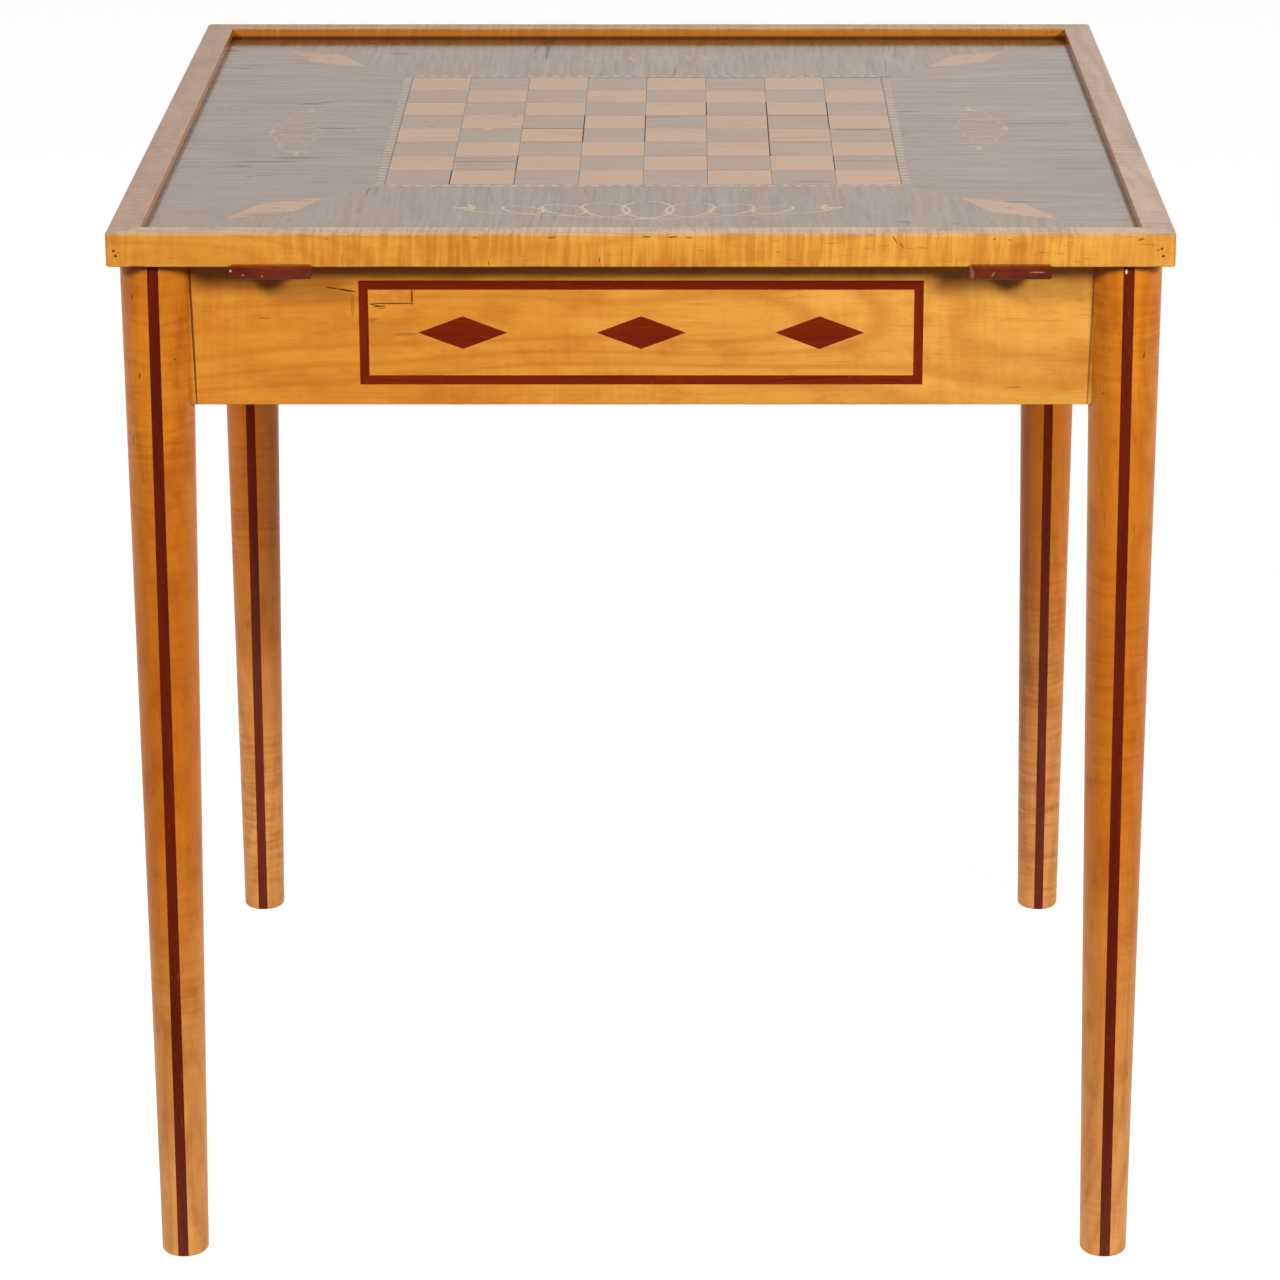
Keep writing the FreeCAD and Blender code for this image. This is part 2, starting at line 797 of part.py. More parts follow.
def pull_bar():
    """The left pull bar: it laps the edge of the top and holds the slide's front end."""
    body = new_body("PullBar")
    half = size.bar_length / 2
    bottom = SLIDE_BOTTOM - size.slide_clearance
    low = (-size.slide_centre - half, BAR_BACK - size.bar_depth)
    high = (-size.slide_centre + half, BAR_BACK)
    pad(body, rectangle(body, "XY_Plane", bottom, low, high), size.bar_height)
    slot_half = size.slide_width / 2
    slot_low = (-size.slide_centre - slot_half, BAR_BACK - size.bar_housing)
    slot_high = (-size.slide_centre + slot_half, BAR_BACK)
    slot = rectangle(body, "XY_Plane", SLIDE_BOTTOM, slot_low, slot_high)
    pocket(body, slot, size.slide_thickness, reverse=True)
    front = BAR_BACK - size.bar_depth

    def front_bottom_edge(edge):
        bounds = edge.BoundBox
        return runs_along(edge, "x") and near(bounds.YMax, front) and near(bounds.ZMax, bottom)

    fillet(body, size.bar_rounding, front_bottom_edge)

    def other_front_edge(edge):
        bounds = edge.BoundBox
        top = bottom + size.bar_height
        along_top = runs_along(edge, "x") and near(bounds.YMax, front) and near(bounds.ZMax, top)
        upright = runs_along(edge, "z") and near(bounds.YMax, front)
        return along_top or upright

    chamfer(body, size.bar_bevel, other_front_edge)
    return body


def stop_peg():
    """A dowel through the slide that meets the back of the apron at full travel."""
    peg = document.addObject("Part::Cylinder", "StopPeg")
    bind(peg, "Radius", size.peg_radius)
    bind(peg, "Height", size.peg_length)
    top = SLIDE_BOTTOM + size.slide_thickness
    return place(peg, -size.slide_centre, PEG_MIDDLE, top - size.peg_length)


def slide_guide(side):
    """An L-shaped runner glued beside the left slide, its lip under the slide's edge."""
    away = -1 if side == "outer" else 1
    body = new_body("Guide" + side.title())
    edge = size.slide_width / 2 + size.slide_clearance
    bottom = UNDERSIDE - size.guide_height
    lip_top = SLIDE_BOTTOM - size.slide_clearance
    wall = edge + size.guide_wall
    lip = edge - size.guide_lip
    section = [
        (lip, bottom),
        (wall, bottom),
        (wall, UNDERSIDE),
        (edge, UNDERSIDE),
        (edge, lip_top),
        (lip, lip_top),
    ]
    points = [(x * away - size.slide_centre, z) for x, z in section]
    sketch = outline(body, "XZ_Plane", size.guide_end, points)
    pad(body, sketch, size.guide_start - size.guide_end)
    return body


def slides():
    """Both slides with their bars, pegs and guides; the right one mirrors the left."""
    for name, piece in (
        ("slide_board", slide_board()),
        ("pull_bar", pull_bar()),
        ("stop_peg", stop_peg()),
        ("slide_guide_{}_outer", slide_guide("outer")),
        ("slide_guide_{}_inner", slide_guide("inner")),
    ):
        pattern = name if "{}" in name else name + "_{}"
        keep(piece, pattern.format("left"))
        mirrored(piece, "x", pattern.format("right"))


# ---------------------------------------------------------------- the whole table


def build():
    top_panel()
    for side, angle, span, reach in SIDES:
        frame_rail(side, angle, span, reach)
        surround_panel(side, angle, span, reach)
        border_strip(side, angle)
    corner_lozenges()
    chess_squares()
    mitre_brads()
    aprons = {"front": front_apron()}
    for side, angle, span, reach in SIDES[1:]:
        aprons[side] = apron(side, angle, span, reach)
    apron_inlays()
    legs(aprons)
    corner_blocks()
    slides()
    document.recompute()


def check():
    """Stop before export if any object failed or any piece is empty or broken."""
    for thing in document.Objects:
        if {"Invalid", "Error"} & set(thing.State):
            raise RuntimeError(f"{thing.Label} failed to compute: {thing.State}")
    for piece in kept:
        if piece.Shape.isNull() or not piece.Shape.isValid() or piece.Shape.Volume <= 0:
            raise RuntimeError(f"{piece.Label} has no valid shape")


def export():
    os.makedirs("parts", exist_ok=True)
    for piece in kept:
        piece.Shape.exportStep(f"parts/{piece.Label}.step")


build()
check()
export()
print(f"{len(kept)} pieces written")
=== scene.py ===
"""Visual model of a square chess table with an inlaid board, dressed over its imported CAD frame.

The tray top, the marquetry board, the aprons, the turned legs and the two pull-out slides are each a
class. Sizes are in metres unless a name says millimetres, in the frame of the CAD: the origin is on
the floor under the middle of the table and the front faces -Y.
"""

from __future__ import annotations

import logging
import math
import random
from contextlib import contextmanager
from dataclasses import dataclass, field, replace
from enum import Enum
from typing import Iterator, Sequence

import bmesh
import bpy
from mathutils import Matrix, Vector, noise


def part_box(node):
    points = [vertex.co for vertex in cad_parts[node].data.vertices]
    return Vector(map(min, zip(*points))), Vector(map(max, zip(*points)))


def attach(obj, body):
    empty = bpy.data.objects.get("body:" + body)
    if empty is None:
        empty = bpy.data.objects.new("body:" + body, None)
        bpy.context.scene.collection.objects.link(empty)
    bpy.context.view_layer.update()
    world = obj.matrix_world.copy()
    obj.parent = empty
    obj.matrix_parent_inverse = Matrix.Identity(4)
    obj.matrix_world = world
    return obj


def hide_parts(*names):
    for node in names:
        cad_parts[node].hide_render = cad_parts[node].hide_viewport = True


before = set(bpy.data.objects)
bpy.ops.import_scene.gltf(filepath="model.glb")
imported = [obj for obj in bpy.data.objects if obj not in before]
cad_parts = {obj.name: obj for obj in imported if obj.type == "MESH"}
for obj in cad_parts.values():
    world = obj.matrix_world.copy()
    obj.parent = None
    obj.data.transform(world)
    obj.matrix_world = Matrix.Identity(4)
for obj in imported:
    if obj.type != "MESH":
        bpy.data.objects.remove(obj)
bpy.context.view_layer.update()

LOG = logging.getLogger("chess_table")
MM = 0.001
CARCASE = "carcase"
WELD = 1e-7
LINE_WELD = 1e-6
MARK_EDGE = 0.6
VARNISH_INDEX = 1.5
VARNISH_ROUGHNESS = 0.13

Colour = tuple[float, float, float]
Point = tuple[float, float, float]
Sockets = dict[str | int, object]
Stroke = list[tuple[float, float, float]]


class Axis(Enum):
    """The direction in which a piece's grain runs."""

    X = 0
    Y = 1
    Z = 2


class Side(Enum):
    """A side of the table, with its turn from the front in degrees."""

    FRONT = 0
    RIGHT = 90
    REAR = 180
    LEFT = 270

    @property
    def label(self) -> str:
        """The side's name as the CAD nodes spell it."""
        return self.name.lower()

    @property
    def turn(self) -> Matrix:
        """The turn about the table's upright middle line that brings a front piece to this side."""
        return Matrix.Rotation(math.radians(self.value), 4, "Z")

    @property
    def runs_along_x(self) -> bool:
        """Whether this side's rail and apron run along X."""
        return self in (Side.FRONT, Side.REAR)


# ------------------------------------------------------------------ node trees


class Term:
    """A node socket or a number that Python's operators work on; each operation adds one node."""

    def __init__(self, bench: Bench, source: bpy.types.NodeSocket | float) -> None:
        """Keep the socket or number and the bench that its nodes are added to."""
        self.bench = bench
        self.source = source

    def maths(self, operation: str, *others: Term | float) -> Term:
        """This value combined with others by a Math node."""
        return self.bench.maths(operation, self, *others)

    def __add__(self, other: Term | float) -> Term:
        """Sum."""
        return self.maths("ADD", other)

    def __sub__(self, other: Term | float) -> Term:
        """Difference."""
        return self.maths("SUBTRACT", other)

    def __mul__(self, other: Term | float) -> Term:
        """Product."""
        return self.maths("MULTIPLY", other)

    def __rsub__(self, other: float) -> Term:
        """A number minus this value."""
        return self.bench.maths("SUBTRACT", other, self)

    __radd__ = __add__

    def between(self, low: float, high: float) -> Term:
        """0 below low, 1 above high and smooth between them; low may be the greater."""
        sockets = {"Value": self, "From Min": low, "From Max": high}
        return self.bench.node("ShaderNodeMapRange", sockets, interpolation_type="SMOOTHSTEP")


class Bench:
    """A node tree and the few ways in which nodes are added to it."""

    def __init__(self, tree: bpy.types.NodeTree) -> None:
        """Start from an empty tree."""
        self.tree = tree
        tree.nodes.clear()

    def add(self, kind: str, sockets: Sockets | None = None, **settings: object) -> bpy.types.Node:
        """Add one node.

        Args:
            kind: The node's type name.
            sockets: Values or links by the input's number, name or identifier.
            settings: Properties of the node, which are set first.

        Returns:
            The new node.
        """
        node = self.tree.nodes.new(kind)
        for key, value in settings.items():
            setattr(node, key, value)
        for key, value in (sockets or {}).items():
            self.feed(self.find(node.inputs, key), value)
        return node

    def node(
        self, kind: str, sockets: Sockets | None = None, output: str | int = 0, **settings: object
    ) -> Term:
        """Add one node as above; give its output with that number, name or identifier."""
        return Term(self, self.find(self.add(kind, sockets, **settings).outputs, output))

    @staticmethod
    def find(sockets: Sequence[bpy.types.NodeSocket], key: str | int) -> bpy.types.NodeSocket:
        """Find a socket.

        Args:
            sockets: A node's inputs or outputs.
            key: The number, identifier or name of one of them.

        Returns:
            That socket.
        """
        if isinstance(key, int):
            return sockets[key]
        exact = [socket for socket in sockets if socket.identifier == key]
        return (exact or [socket for socket in sockets if socket.name == key])[0]

    def feed(self, socket: bpy.types.NodeSocket, value: object) -> None:
        """Link a term or a socket to an input, or set the input's own value.

        Args:
            socket: The input.
            value: The term, socket, number, vector, colour or data-block for it.
        """
        source = value.source if isinstance(value, Term) else value
        if isinstance(source, bpy.types.NodeSocket):
            self.tree.links.new(source, socket)
        elif socket.type == "RGBA" and len(source) == 3:
            socket.default_value = (*source, 1)
        else:
            socket.default_value = source

    def maths(self, operation: str, *values: Term | float) -> Term:
        """Combine values by one Math node."""
        return self.node("ShaderNodeMath", dict(enumerate(values)), operation=operation)

    def vectors(self, operation: str, *values: object) -> Term:
        """Combine vectors by one Vector Math node."""
        return self.node("ShaderNodeVectorMath", dict(enumerate(values)), operation=operation)

    def scaled(self, vector: object, factor: float) -> Term:
        """A vector times a number."""
        return self.node("ShaderNodeVectorMath", {0: vector, "Scale": factor}, operation="SCALE")

    def parts(self, vector: Term) -> list[Term]:
        """A vector's three numbers."""
        split = self.add("ShaderNodeSeparateXYZ", {0: vector})
        return [Term(self, output) for output in split.outputs]


@dataclass(frozen=True)
class Mark:
    """A spot, scratch or crack on a face, in millimetres on that face's own two axes."""

    across: float
    up: float
    half_length: float
    half_width: float
    tilt: float = 0.0
    strength: float = 1.0


def marks_from(*rows: Sequence[float]) -> tuple[Mark, ...]:
    """Marks from rows that hold a mark's numbers in their order."""
    return tuple(Mark(*row) for row in rows)


@dataclass
class Coat:
    """What a finish has worked out for a surface, before it reaches the shader."""

    colour: Term
    rough: Term
    height: Term
    varnish: Term | float = 0.0


@dataclass(frozen=True)
class Tones:
    """The colours of a wood's figure, each plain or varying from place to place."""

    pale: Term | Colour
    deep: Term | Colour
    line: Term | Colour


class Paint(Bench):
    """The node tree of one material."""

    def __init__(self, name: str) -> None:
        """Make the material and its coordinates.

        Args:
            name: The material's name.
        """
        self.material = bpy.data.materials.new(name)
        self.material.use_nodes = True
        super().__init__(self.material.node_tree)
        self.place = self.node("ShaderNodeTexCoord", output="Object")
        self.x, self.y, self.z = self.parts(self.place)

    def mix(self, amount: Term | float, first: object, second: object, blend: str = "MIX") -> Term:
        """Two colours mixed by an amount from 0 to 1."""
        sockets = {"Factor_Float": amount, "A_Color": first, "B_Color": second}
        return self.node("ShaderNodeMix", sockets, "Result_Color", data_type="RGBA", blend_type=blend)

    def stretched(self, place: Term, scale: Sequence[float], shift: float = 0.0) -> Term:
        """Coordinates scaled on each axis and then moved."""
        sockets = {"Vector": place, "Scale": scale, "Location": (shift,) * 3}
        return self.node("ShaderNodeMapping", sockets)

    def cloud(self, place: Term, detail: float, rough: float) -> Term:
        """Soft noise about 0.5, with that many finer layers of that strength."""
        sockets = {"Vector": place, "Scale": 1.0, "Detail": detail, "Roughness": rough}
        return self.node("ShaderNodeTexNoise", sockets)

    def wander(self, place: Term, scale: float, reach: float) -> Term:
        """Push coordinates about by noise.

        Args:
            place: The coordinates, in metres.
            scale: The noise's cells in a metre.
            reach: Twice the furthest that a point is pushed, about.

        Returns:
            The new coordinates.
        """
        sockets = {"Vector": place, "Scale": scale, "Detail": 1.0}
        push = self.node("ShaderNodeTexNoise", sockets, "Color")
        centred = self.vectors("SUBTRACT", push, (0.5, 0.5, 0.5))
        return self.vectors("ADD", place, self.scaled(centred, reach))

    def outwards(self) -> Term:
        """The distance from the table's middle, measured square to its sides."""
        return self.x.maths("ABSOLUTE").maths("MAXIMUM", self.y.maths("ABSOLUTE"))

    def marks(self, across: Term, up: Term, marks: Sequence[Mark]) -> Term:
        """A mask that is 1 inside the marks.

        Args:
            across: The face's first coordinate, in metres.
            up: The face's second coordinate, in metres.
            marks: The marks, each a soft-edged ellipse.

        Returns:
            The strongest mark at each point.
        """
        total: Term | None = None
        for mark in marks:
            turn = math.radians(mark.tilt)
            cosine, sine = math.cos(turn), math.sin(turn)
            du, dv = across - mark.across * MM, up - mark.up * MM
            length, width = mark.half_length * MM, mark.half_width * MM
            along = du * (cosine / length) + dv * (sine / length)
            aside = dv * (cosine / width) - du * (sine / width)
            inside = (1 - (along * along + aside * aside)).between(0.0, MARK_EDGE) * mark.strength
            total = inside if total is None else total.maths("MAXIMUM", inside)
        return total

    def finish(
        self, coat: Coat, relief: float, gloss: float = 0.5, metal: float = 0.0
    ) -> bpy.types.Material:
        """Bring a coat to the shader and give back the material.

        Args:
            coat: The colour, roughness, height and varnish of the surface.
            relief: The height of the surface's bumps, in metres.
            gloss: The strength of its reflections; 0.5 is a full coat of varnish.
            metal: How metallic it is, from 0 to 1.

        Returns:
            The finished material.
        """
        bumps = {"Strength": 1.0, "Distance": relief, "Height": coat.height}
        surface = {
            "Base Color": coat.colour,
            "Roughness": coat.rough,
            "Metallic": metal,
            "Normal": self.node("ShaderNodeBump", bumps),
            "IOR": VARNISH_INDEX,
            "Specular IOR Level": gloss,
            "Coat Weight": coat.varnish,
            "Coat Roughness": VARNISH_ROUGHNESS,
        }
        shader = self.node("ShaderNodeBsdfPrincipled", surface)
        self.add("ShaderNodeOutputMaterial", {"Surface": shader})
        return self.material


# ------------------------------------------------------------------ finishes


@dataclass(frozen=True)
class Wood:
    """A varnished wood, with its figure drawn along the grain.

    A name in drift holds the cells in a metre of a noise that bends the figure, and its reach. A
    name in cells holds a noise's cells in a metre, along the grain and across it, and a name in ends
    the values between which a mask turns on.
    """

    name: str
    pale: Colour
    deep: Colour
    line: Colour
    grain: Axis = Axis.X
    shift: float = 0.0
    streak: float = 0.6
    fibre: float = 0.35
    curl: float = 0.0
    flecks: float = 0.0
    cloudy: float = 0.3
    rough: float = 0.3
    rough_spread: float = 0.12
    rough_fibre: float = 0.06
    mottle: float = 0.0
    figure: float = 0.0
    figure_lines: float = 26.0
    gleam: Colour = (1.12, 1.2, 1.4)
    curl_patch: tuple[float, float] = (0.42, 0.6)
    curls_per_metre: float = 250.0
    relief: float = 0.00006
    gloss: float = 0.2
    fibre_per_metre: float = 420.0
    streaks_per_metre: float = 70.0
    fleck: Colour = (0.27, 0.055, 0.008)
    # The colour of stains and cracks, also used for painted shade and painted shadow lines.
    stain_and_shade: Colour = (0.13, 0.028, 0.008)
    # Pale marks: scuffs and worn chips, and painted highlights.
    scuff: Colour = (0.80, 0.58, 0.36)
    dry: float = 0.1
    marks: tuple[Mark, ...] = ()
    scuffs_and_highlights: tuple[Mark, ...] = ()
    lies_flat: bool = False
    drift: tuple[float, float] = (6.0, 0.012)
    streak_run: float = 2.2
    streak_ends: tuple[float, float] = (0.32, 0.68)
    streak_height: float = 0.3
    fibre_run: float = 14.0
    fibre_ends: tuple[float, float] = (0.5, 0.78)
    fibre_height: float = 0.7
    clouds_per_metre: float = 9.0
    cloud_ends: tuple[float, float] = (0.35, 0.7)
    mottle_cells: tuple[float, float] = (26.0, 48.0)
    mottle_ends: tuple[float, float] = (0.3, 0.72)
    figure_cells: tuple[float, float] = (2.6, 13.0)
    figure_ends: tuple[float, float] = (0.55, 0.0)
    curl_drift: tuple[float, float] = (40.0, 0.005)
    curl_width: float = 24.0
    curl_cells: tuple[float, float] = (4.0, 3.0)
    curl_ends: tuple[float, float] = (0.34, 0.66)
    fleck_cells: tuple[float, float] = (90.0, 480.0)
    fleck_ends: tuple[float, float] = (0.68, 0.76)
    mark_sink: float = 0.8
    scuff_sink: float = 0.2

    def drawn_out(
        self,
        paint: Paint,
        place: Term,
        scales: tuple[float, float],
        detail: float = 1.0,
        rough: float = 0.5,
    ) -> Term:
        """Noise that is drawn out along the grain.

        Args:
            paint: The tree that the nodes go into.
            place: Coordinates of the wood, in metres.
            scales: The noise's cells in a metre along the grain and across it.
            detail: The number of its finer layers.
            rough: The strength of its finer layers.

        Returns:
            The noise, about 0.5.
        """
        along, across = scales
        scale = [across] * 3
        scale[self.grain.value] = along
        return paint.cloud(paint.stretched(place, scale, self.shift), detail, rough)

    def shimmer(
        self,
        paint: Paint,
        colour: Term,
        tones: Tones,
        bands: Term,
        ends: tuple[float, float],
        amount: Term | float,
    ) -> Term:
        """Brighten a colour where a noise is high and darken it where it is low.

        Args:
            paint: The tree that the nodes go into.
            colour: The colour so far.
            tones: The wood's tones; its pale one is brightened, and its line darkens.
            bands: The noise.
            ends: The low and the high noise at which the change is full.
            amount: How strong the change is.

        Returns:
            The changed colour.
        """
        bright = paint.mix(1.0, tones.pale, self.gleam, "MULTIPLY")
        lighter = paint.mix(bands.between(0.5, ends[1]) * amount, colour, bright)
        return paint.mix(bands.between(0.5, ends[0]) * amount, lighter, tones.line)

    def coat(self, paint: Paint, place: Term, tones: Tones | None = None) -> Coat:
        """Work the wood's figure out.

        Args:
            paint: The tree that the nodes go into.
            place: Coordinates of the wood, in metres.
            tones: Tones that stand for the wood's own.

        Returns:
            Its colour, roughness and height.
        """
        tones = tones or Tones(self.pale, self.deep, self.line)
        loose = paint.wander(place, *self.drift)
        streaks = self.drawn_out(paint, loose, (self.streak_run, self.streaks_per_metre), 4, 0.6)
        fibres = self.drawn_out(paint, loose, (self.fibre_run, self.fibre_per_metre), 3, 0.65)
        clouds = paint.cloud(paint.stretched(place, (self.clouds_per_metre,) * 3, self.shift), 3, 0.55)
        dark, dim = streaks.between(*self.streak_ends), clouds.between(*self.cloud_ends)
        tone = (dark * self.streak + dim * self.cloudy).maths("MINIMUM", 1.0)
        colour = paint.mix(tone, tones.pale, tones.deep)
        if self.mottle:
            patches = self.drawn_out(paint, loose, self.mottle_cells, 3, 0.6)
            colour = self.shimmer(paint, colour, tones, patches, self.mottle_ends, self.mottle)
        colour = paint.mix(fibres.between(*self.fibre_ends) * self.fibre, colour, tones.line)
        if self.figure:
            growth = self.drawn_out(paint, loose, self.figure_cells, 1, 0.4)
            rings = (growth * self.figure_lines).maths("PINGPONG", 1.0)
            colour = paint.mix(rings.between(*self.figure_ends) * self.figure, colour, tones.line)
        if self.curl:
            bent = paint.wander(loose, *self.curl_drift)
            bands = self.drawn_out(paint, bent, (self.curls_per_metre, self.curl_width), 2)
            where = self.drawn_out(paint, loose, self.curl_cells)
            amount = where.between(*self.curl_patch) * self.curl
            colour = self.shimmer(paint, colour, tones, bands, self.curl_ends, amount)
        if self.flecks:
            spots = self.drawn_out(paint, loose, self.fleck_cells)
            colour = paint.mix(spots.between(*self.fleck_ends) * self.flecks, colour, self.fleck)
        grip = (fibres - 0.5) * self.rough_fibre
        rough = self.rough + (clouds - 0.5) * self.rough_spread + grip
        return Coat(colour, rough, fibres * self.fibre_height + streaks * self.streak_height)

    def painted(self, paint: Paint) -> Coat:
        """The wood's coat, before its marks."""
        return self.coat(paint, paint.place)

    def material(self) -> bpy.types.Material:
        """The wood's coat with its dark marks over it, some of them painted shadow, and then its pale
        marks: scuffs and painted highlights.

        Returns:
            The finished material.
        """
        paint = Paint(self.name)
        coat = self.painted(paint)
        up = paint.y if self.lies_flat else paint.z
        dark = (self.marks, self.stain_and_shade, self.mark_sink)
        pale = (self.scuffs_and_highlights, self.scuff, self.scuff_sink)
        for marks, colour, sunk in (dark, pale):
            if marks:
                mask = paint.marks(paint.x, up, marks)
                toned = paint.mix(mask, coat.colour, colour)
                rough, height = coat.rough + mask * self.dry, coat.height - mask * sunk
                coat = replace(coat, colour=toned, rough=rough, height=height)
        return paint.finish(coat, self.relief, self.gloss)


@dataclass(frozen=True)
class LegWood(Wood):
    """The wood of a leg, paler and greyer towards the foot as painted light from the floor, and deeper at
    the waist.
    """

    foot_pale: Colour = (0.61, 0.268, 0.068)
    foot_deep: Colour = (0.51, 0.208, 0.046)
    fade_from: float = 0.36
    fade_to: float = 0.05
    waist: float = 0.42
    waist_reach: float = 0.24
    waist_depth: float = 0.45

    def painted(self, paint: Paint) -> Coat:
        """The leg's coat.

        Args:
            paint: The tree that the nodes go into.

        Returns:
            The coat, before its marks.
        """
        # Painted light: paler and greyer towards the foot, for the light from the floor.
        faded = paint.z.between(self.fade_from, self.fade_to)
        pale = paint.mix(faded, self.pale, self.foot_pale)
        deep = paint.mix(faded, self.deep, self.foot_deep)
        away = (paint.z - self.waist).maths("ABSOLUTE")
        pale = paint.mix(away.between(self.waist_reach, 0.0) * self.waist_depth, pale, self.line)
        return self.coat(paint, paint.place, Tones(pale, deep, self.line))


@dataclass(frozen=True)
class RightLitWood(Wood):
    """A light wood painted paler and yellower towards +X: painted light from the stronger lamp on the
    right.
    """

    right_pale: Colour = (0.72, 0.35, 0.062)
    right_deep: Colour = (0.63, 0.29, 0.044)
    turn_from: float = -0.20
    turn_to: float = 0.30

    def tones(self, paint: Paint) -> Tones:
        """The tones at each point.

        Args:
            paint: The tree that the nodes go into.

        Returns:
            The tones.
        """
        # Painted light: the tones brighten towards +X, where the right lamp falls strongest.
        right = paint.x.between(self.turn_from, self.turn_to)
        pale = paint.mix(right, self.pale, self.right_pale)
        return Tones(pale, paint.mix(right, self.deep, self.right_deep), self.line)

    def painted(self, paint: Paint) -> Coat:
        """The wood's coat, before its marks."""
        return self.coat(paint, paint.place, self.tones(paint))


@dataclass(frozen=True)
class RailWood(RightLitWood):
    """The wood of a tray rail, with painted light: its upper face toned for the sheen and light on it, its
    inner faces darker as painted shade, and painted shade at their foot.
    """

    top_pale: Colour = (0.30, 0.165, 0.090)
    top_deep: Colour = (0.23, 0.115, 0.060)
    top_line: Colour = (0.19, 0.098, 0.052)
    inner_pale: Colour = (0.48, 0.160, 0.021)
    inner_deep: Colour = (0.385, 0.116, 0.013)
    corner_shade: Colour = (0.07, 0.022, 0.006)
    corner_shade_depth: float = 0.85
    top_from: float = 0.7420
    top_to: float = 0.7429
    inner_from: float = 0.3310
    inner_to: float = 0.3294
    corner_shade_from: float = 0.7385
    corner_shade_to: float = 0.7368

    def painted(self, paint: Paint) -> Coat:
        """The rail's coat.

        Args:
            paint: The tree that the nodes go into.

        Returns:
            The coat, before its marks.
        """
        # Painted shade: the inner faces, further from the lamps, are painted darker.
        inside = paint.outwards().between(self.inner_from, self.inner_to)
        # Painted light: the upper faces take their own tones for the reflected sheen and the weaker light
        # on them.
        lying = paint.z.between(self.top_from, self.top_to)
        # Painted shade along the foot of the inner faces, in the corner with the board.
        foot = paint.z.between(self.corner_shade_from, self.corner_shade_to) * inside
        outer = self.tones(paint)
        pale = paint.mix(lying, paint.mix(inside, outer.pale, self.inner_pale), self.top_pale)
        deep = paint.mix(lying, paint.mix(inside, outer.deep, self.inner_deep), self.top_deep)
        line = paint.mix(lying, self.line, self.top_line)
        coat = self.coat(paint, paint.place, Tones(pale, deep, line))
        return replace(coat, colour=paint.mix(foot * self.corner_shade_depth, coat.colour, self.corner_shade))


@dataclass(frozen=True)
class Veneer(Wood):
    """A veneer of the board, dry and rippled, with shrinkage cracks along its grain."""

    cracks: float = 0.45
    crack_depth: float = 2.0
    crack_drift: tuple[float, float] = (9.0, 0.008)
    crack_cells: tuple[float, float] = (1.4, 60.0)
    crack_ends: tuple[float, float] = (0.014, 0.003)
    gate_cells: tuple[float, float] = (11.0, 24.0)
    gate_ends: tuple[float, float] = (0.58, 0.70)
    grain_height: float = 0.5
    ripple: float = 1.5
    ripple_cells: tuple[float, float, float] = (14.0, 30.0, 1.0)
    rough_fibre: float = 0.22
    dry: float = 0.16
    gloss: float = 0.22
    varnish: float = 0.40
    varnish_figure: float = 1.6
    lies_flat: bool = True

    def aged(self, paint: Paint, place: Term) -> Coat:
        """The veneer's coat with fine cracks along the grain and a slow ripple.

        Args:
            paint: The tree that the nodes go into.
            place: Coordinates of the wood, in metres.

        Returns:
            The coat, with its varnish.
        """
        coat = self.coat(paint, place)
        loose = paint.wander(place, *self.crack_drift)
        lines = (self.drawn_out(paint, loose, self.crack_cells) - 0.5).maths("ABSOLUTE")
        gate = self.drawn_out(paint, place, self.gate_cells)
        crack = lines.between(*self.crack_ends) * gate.between(*self.gate_ends)
        ripples = paint.cloud(paint.stretched(place, self.ripple_cells, self.shift), 1, 0.4)
        colour = paint.mix(crack * self.cracks, coat.colour, self.stain_and_shade)
        height = coat.height * self.grain_height - crack * self.crack_depth + ripples * self.ripple
        shine = (coat.height - 0.5) * self.varnish_figure - crack * self.cracks + self.varnish
        rough = coat.rough + crack * self.cracks * self.dry
        return Coat(colour, rough, height, shine.maths("MAXIMUM", 0.0))

    def painted(self, paint: Paint) -> Coat:
        """The veneer's coat, before its marks."""
        return self.aged(paint, paint.place)


@dataclass(frozen=True)
class SurroundVeneer(Veneer):
    """The dark veneer round the squares, with painted shade along the foot of the frame."""

    dirt_from: float = 0.3266
    dirt_to: float = 0.3290
    dirt: float = 0.62

    def painted(self, paint: Paint) -> Coat:
        """The surround's coat.

        Args:
            paint: The tree that the nodes go into.

        Returns:
            The coat, before its marks.
        """
        coat = self.aged(paint, paint.place)
        # Painted shade: darker along the foot of the frame, for the shade in the corner and the dark
        # reflection of the wall.
        dirt = paint.outwards().between(self.dirt_from, self.dirt_to) * self.dirt
        colour = paint.mix(dirt, coat.colour, self.stain_and_shade)
        return replace(coat, colour=colour, rough=coat.rough + dirt * self.dry)


@dataclass(frozen=True)
class SquareVeneer(Veneer):
    """The veneer of the chess squares, with a tone and a grain of its own on each square."""

    pitch: float = 0.0445
    spread: float = 0.5
    step: float = 0.4
    grain_jump: float = 3.0

    def painted(self, paint: Paint) -> Coat:
        """The squares' coat.

        Args:
            paint: The tree that the nodes go into.

        Returns:
            The coat, before its marks.
        """
        cell = paint.vectors("FLOOR", paint.stretched(paint.place, (1 / self.pitch,) * 3))
        lot = paint.add("ShaderNodeTexWhiteNoise", {"Vector": cell}, noise_dimensions="2D")
        tone = Term(paint, lot.outputs["Value"])
        moved = paint.scaled(lot.outputs["Color"], self.grain_jump)
        coat = self.aged(paint, paint.vectors("ADD", paint.place, moved))
        toned = paint.mix(tone * self.spread, coat.colour, self.deep)
        return replace(coat, colour=toned, height=coat.height + tone * self.step)


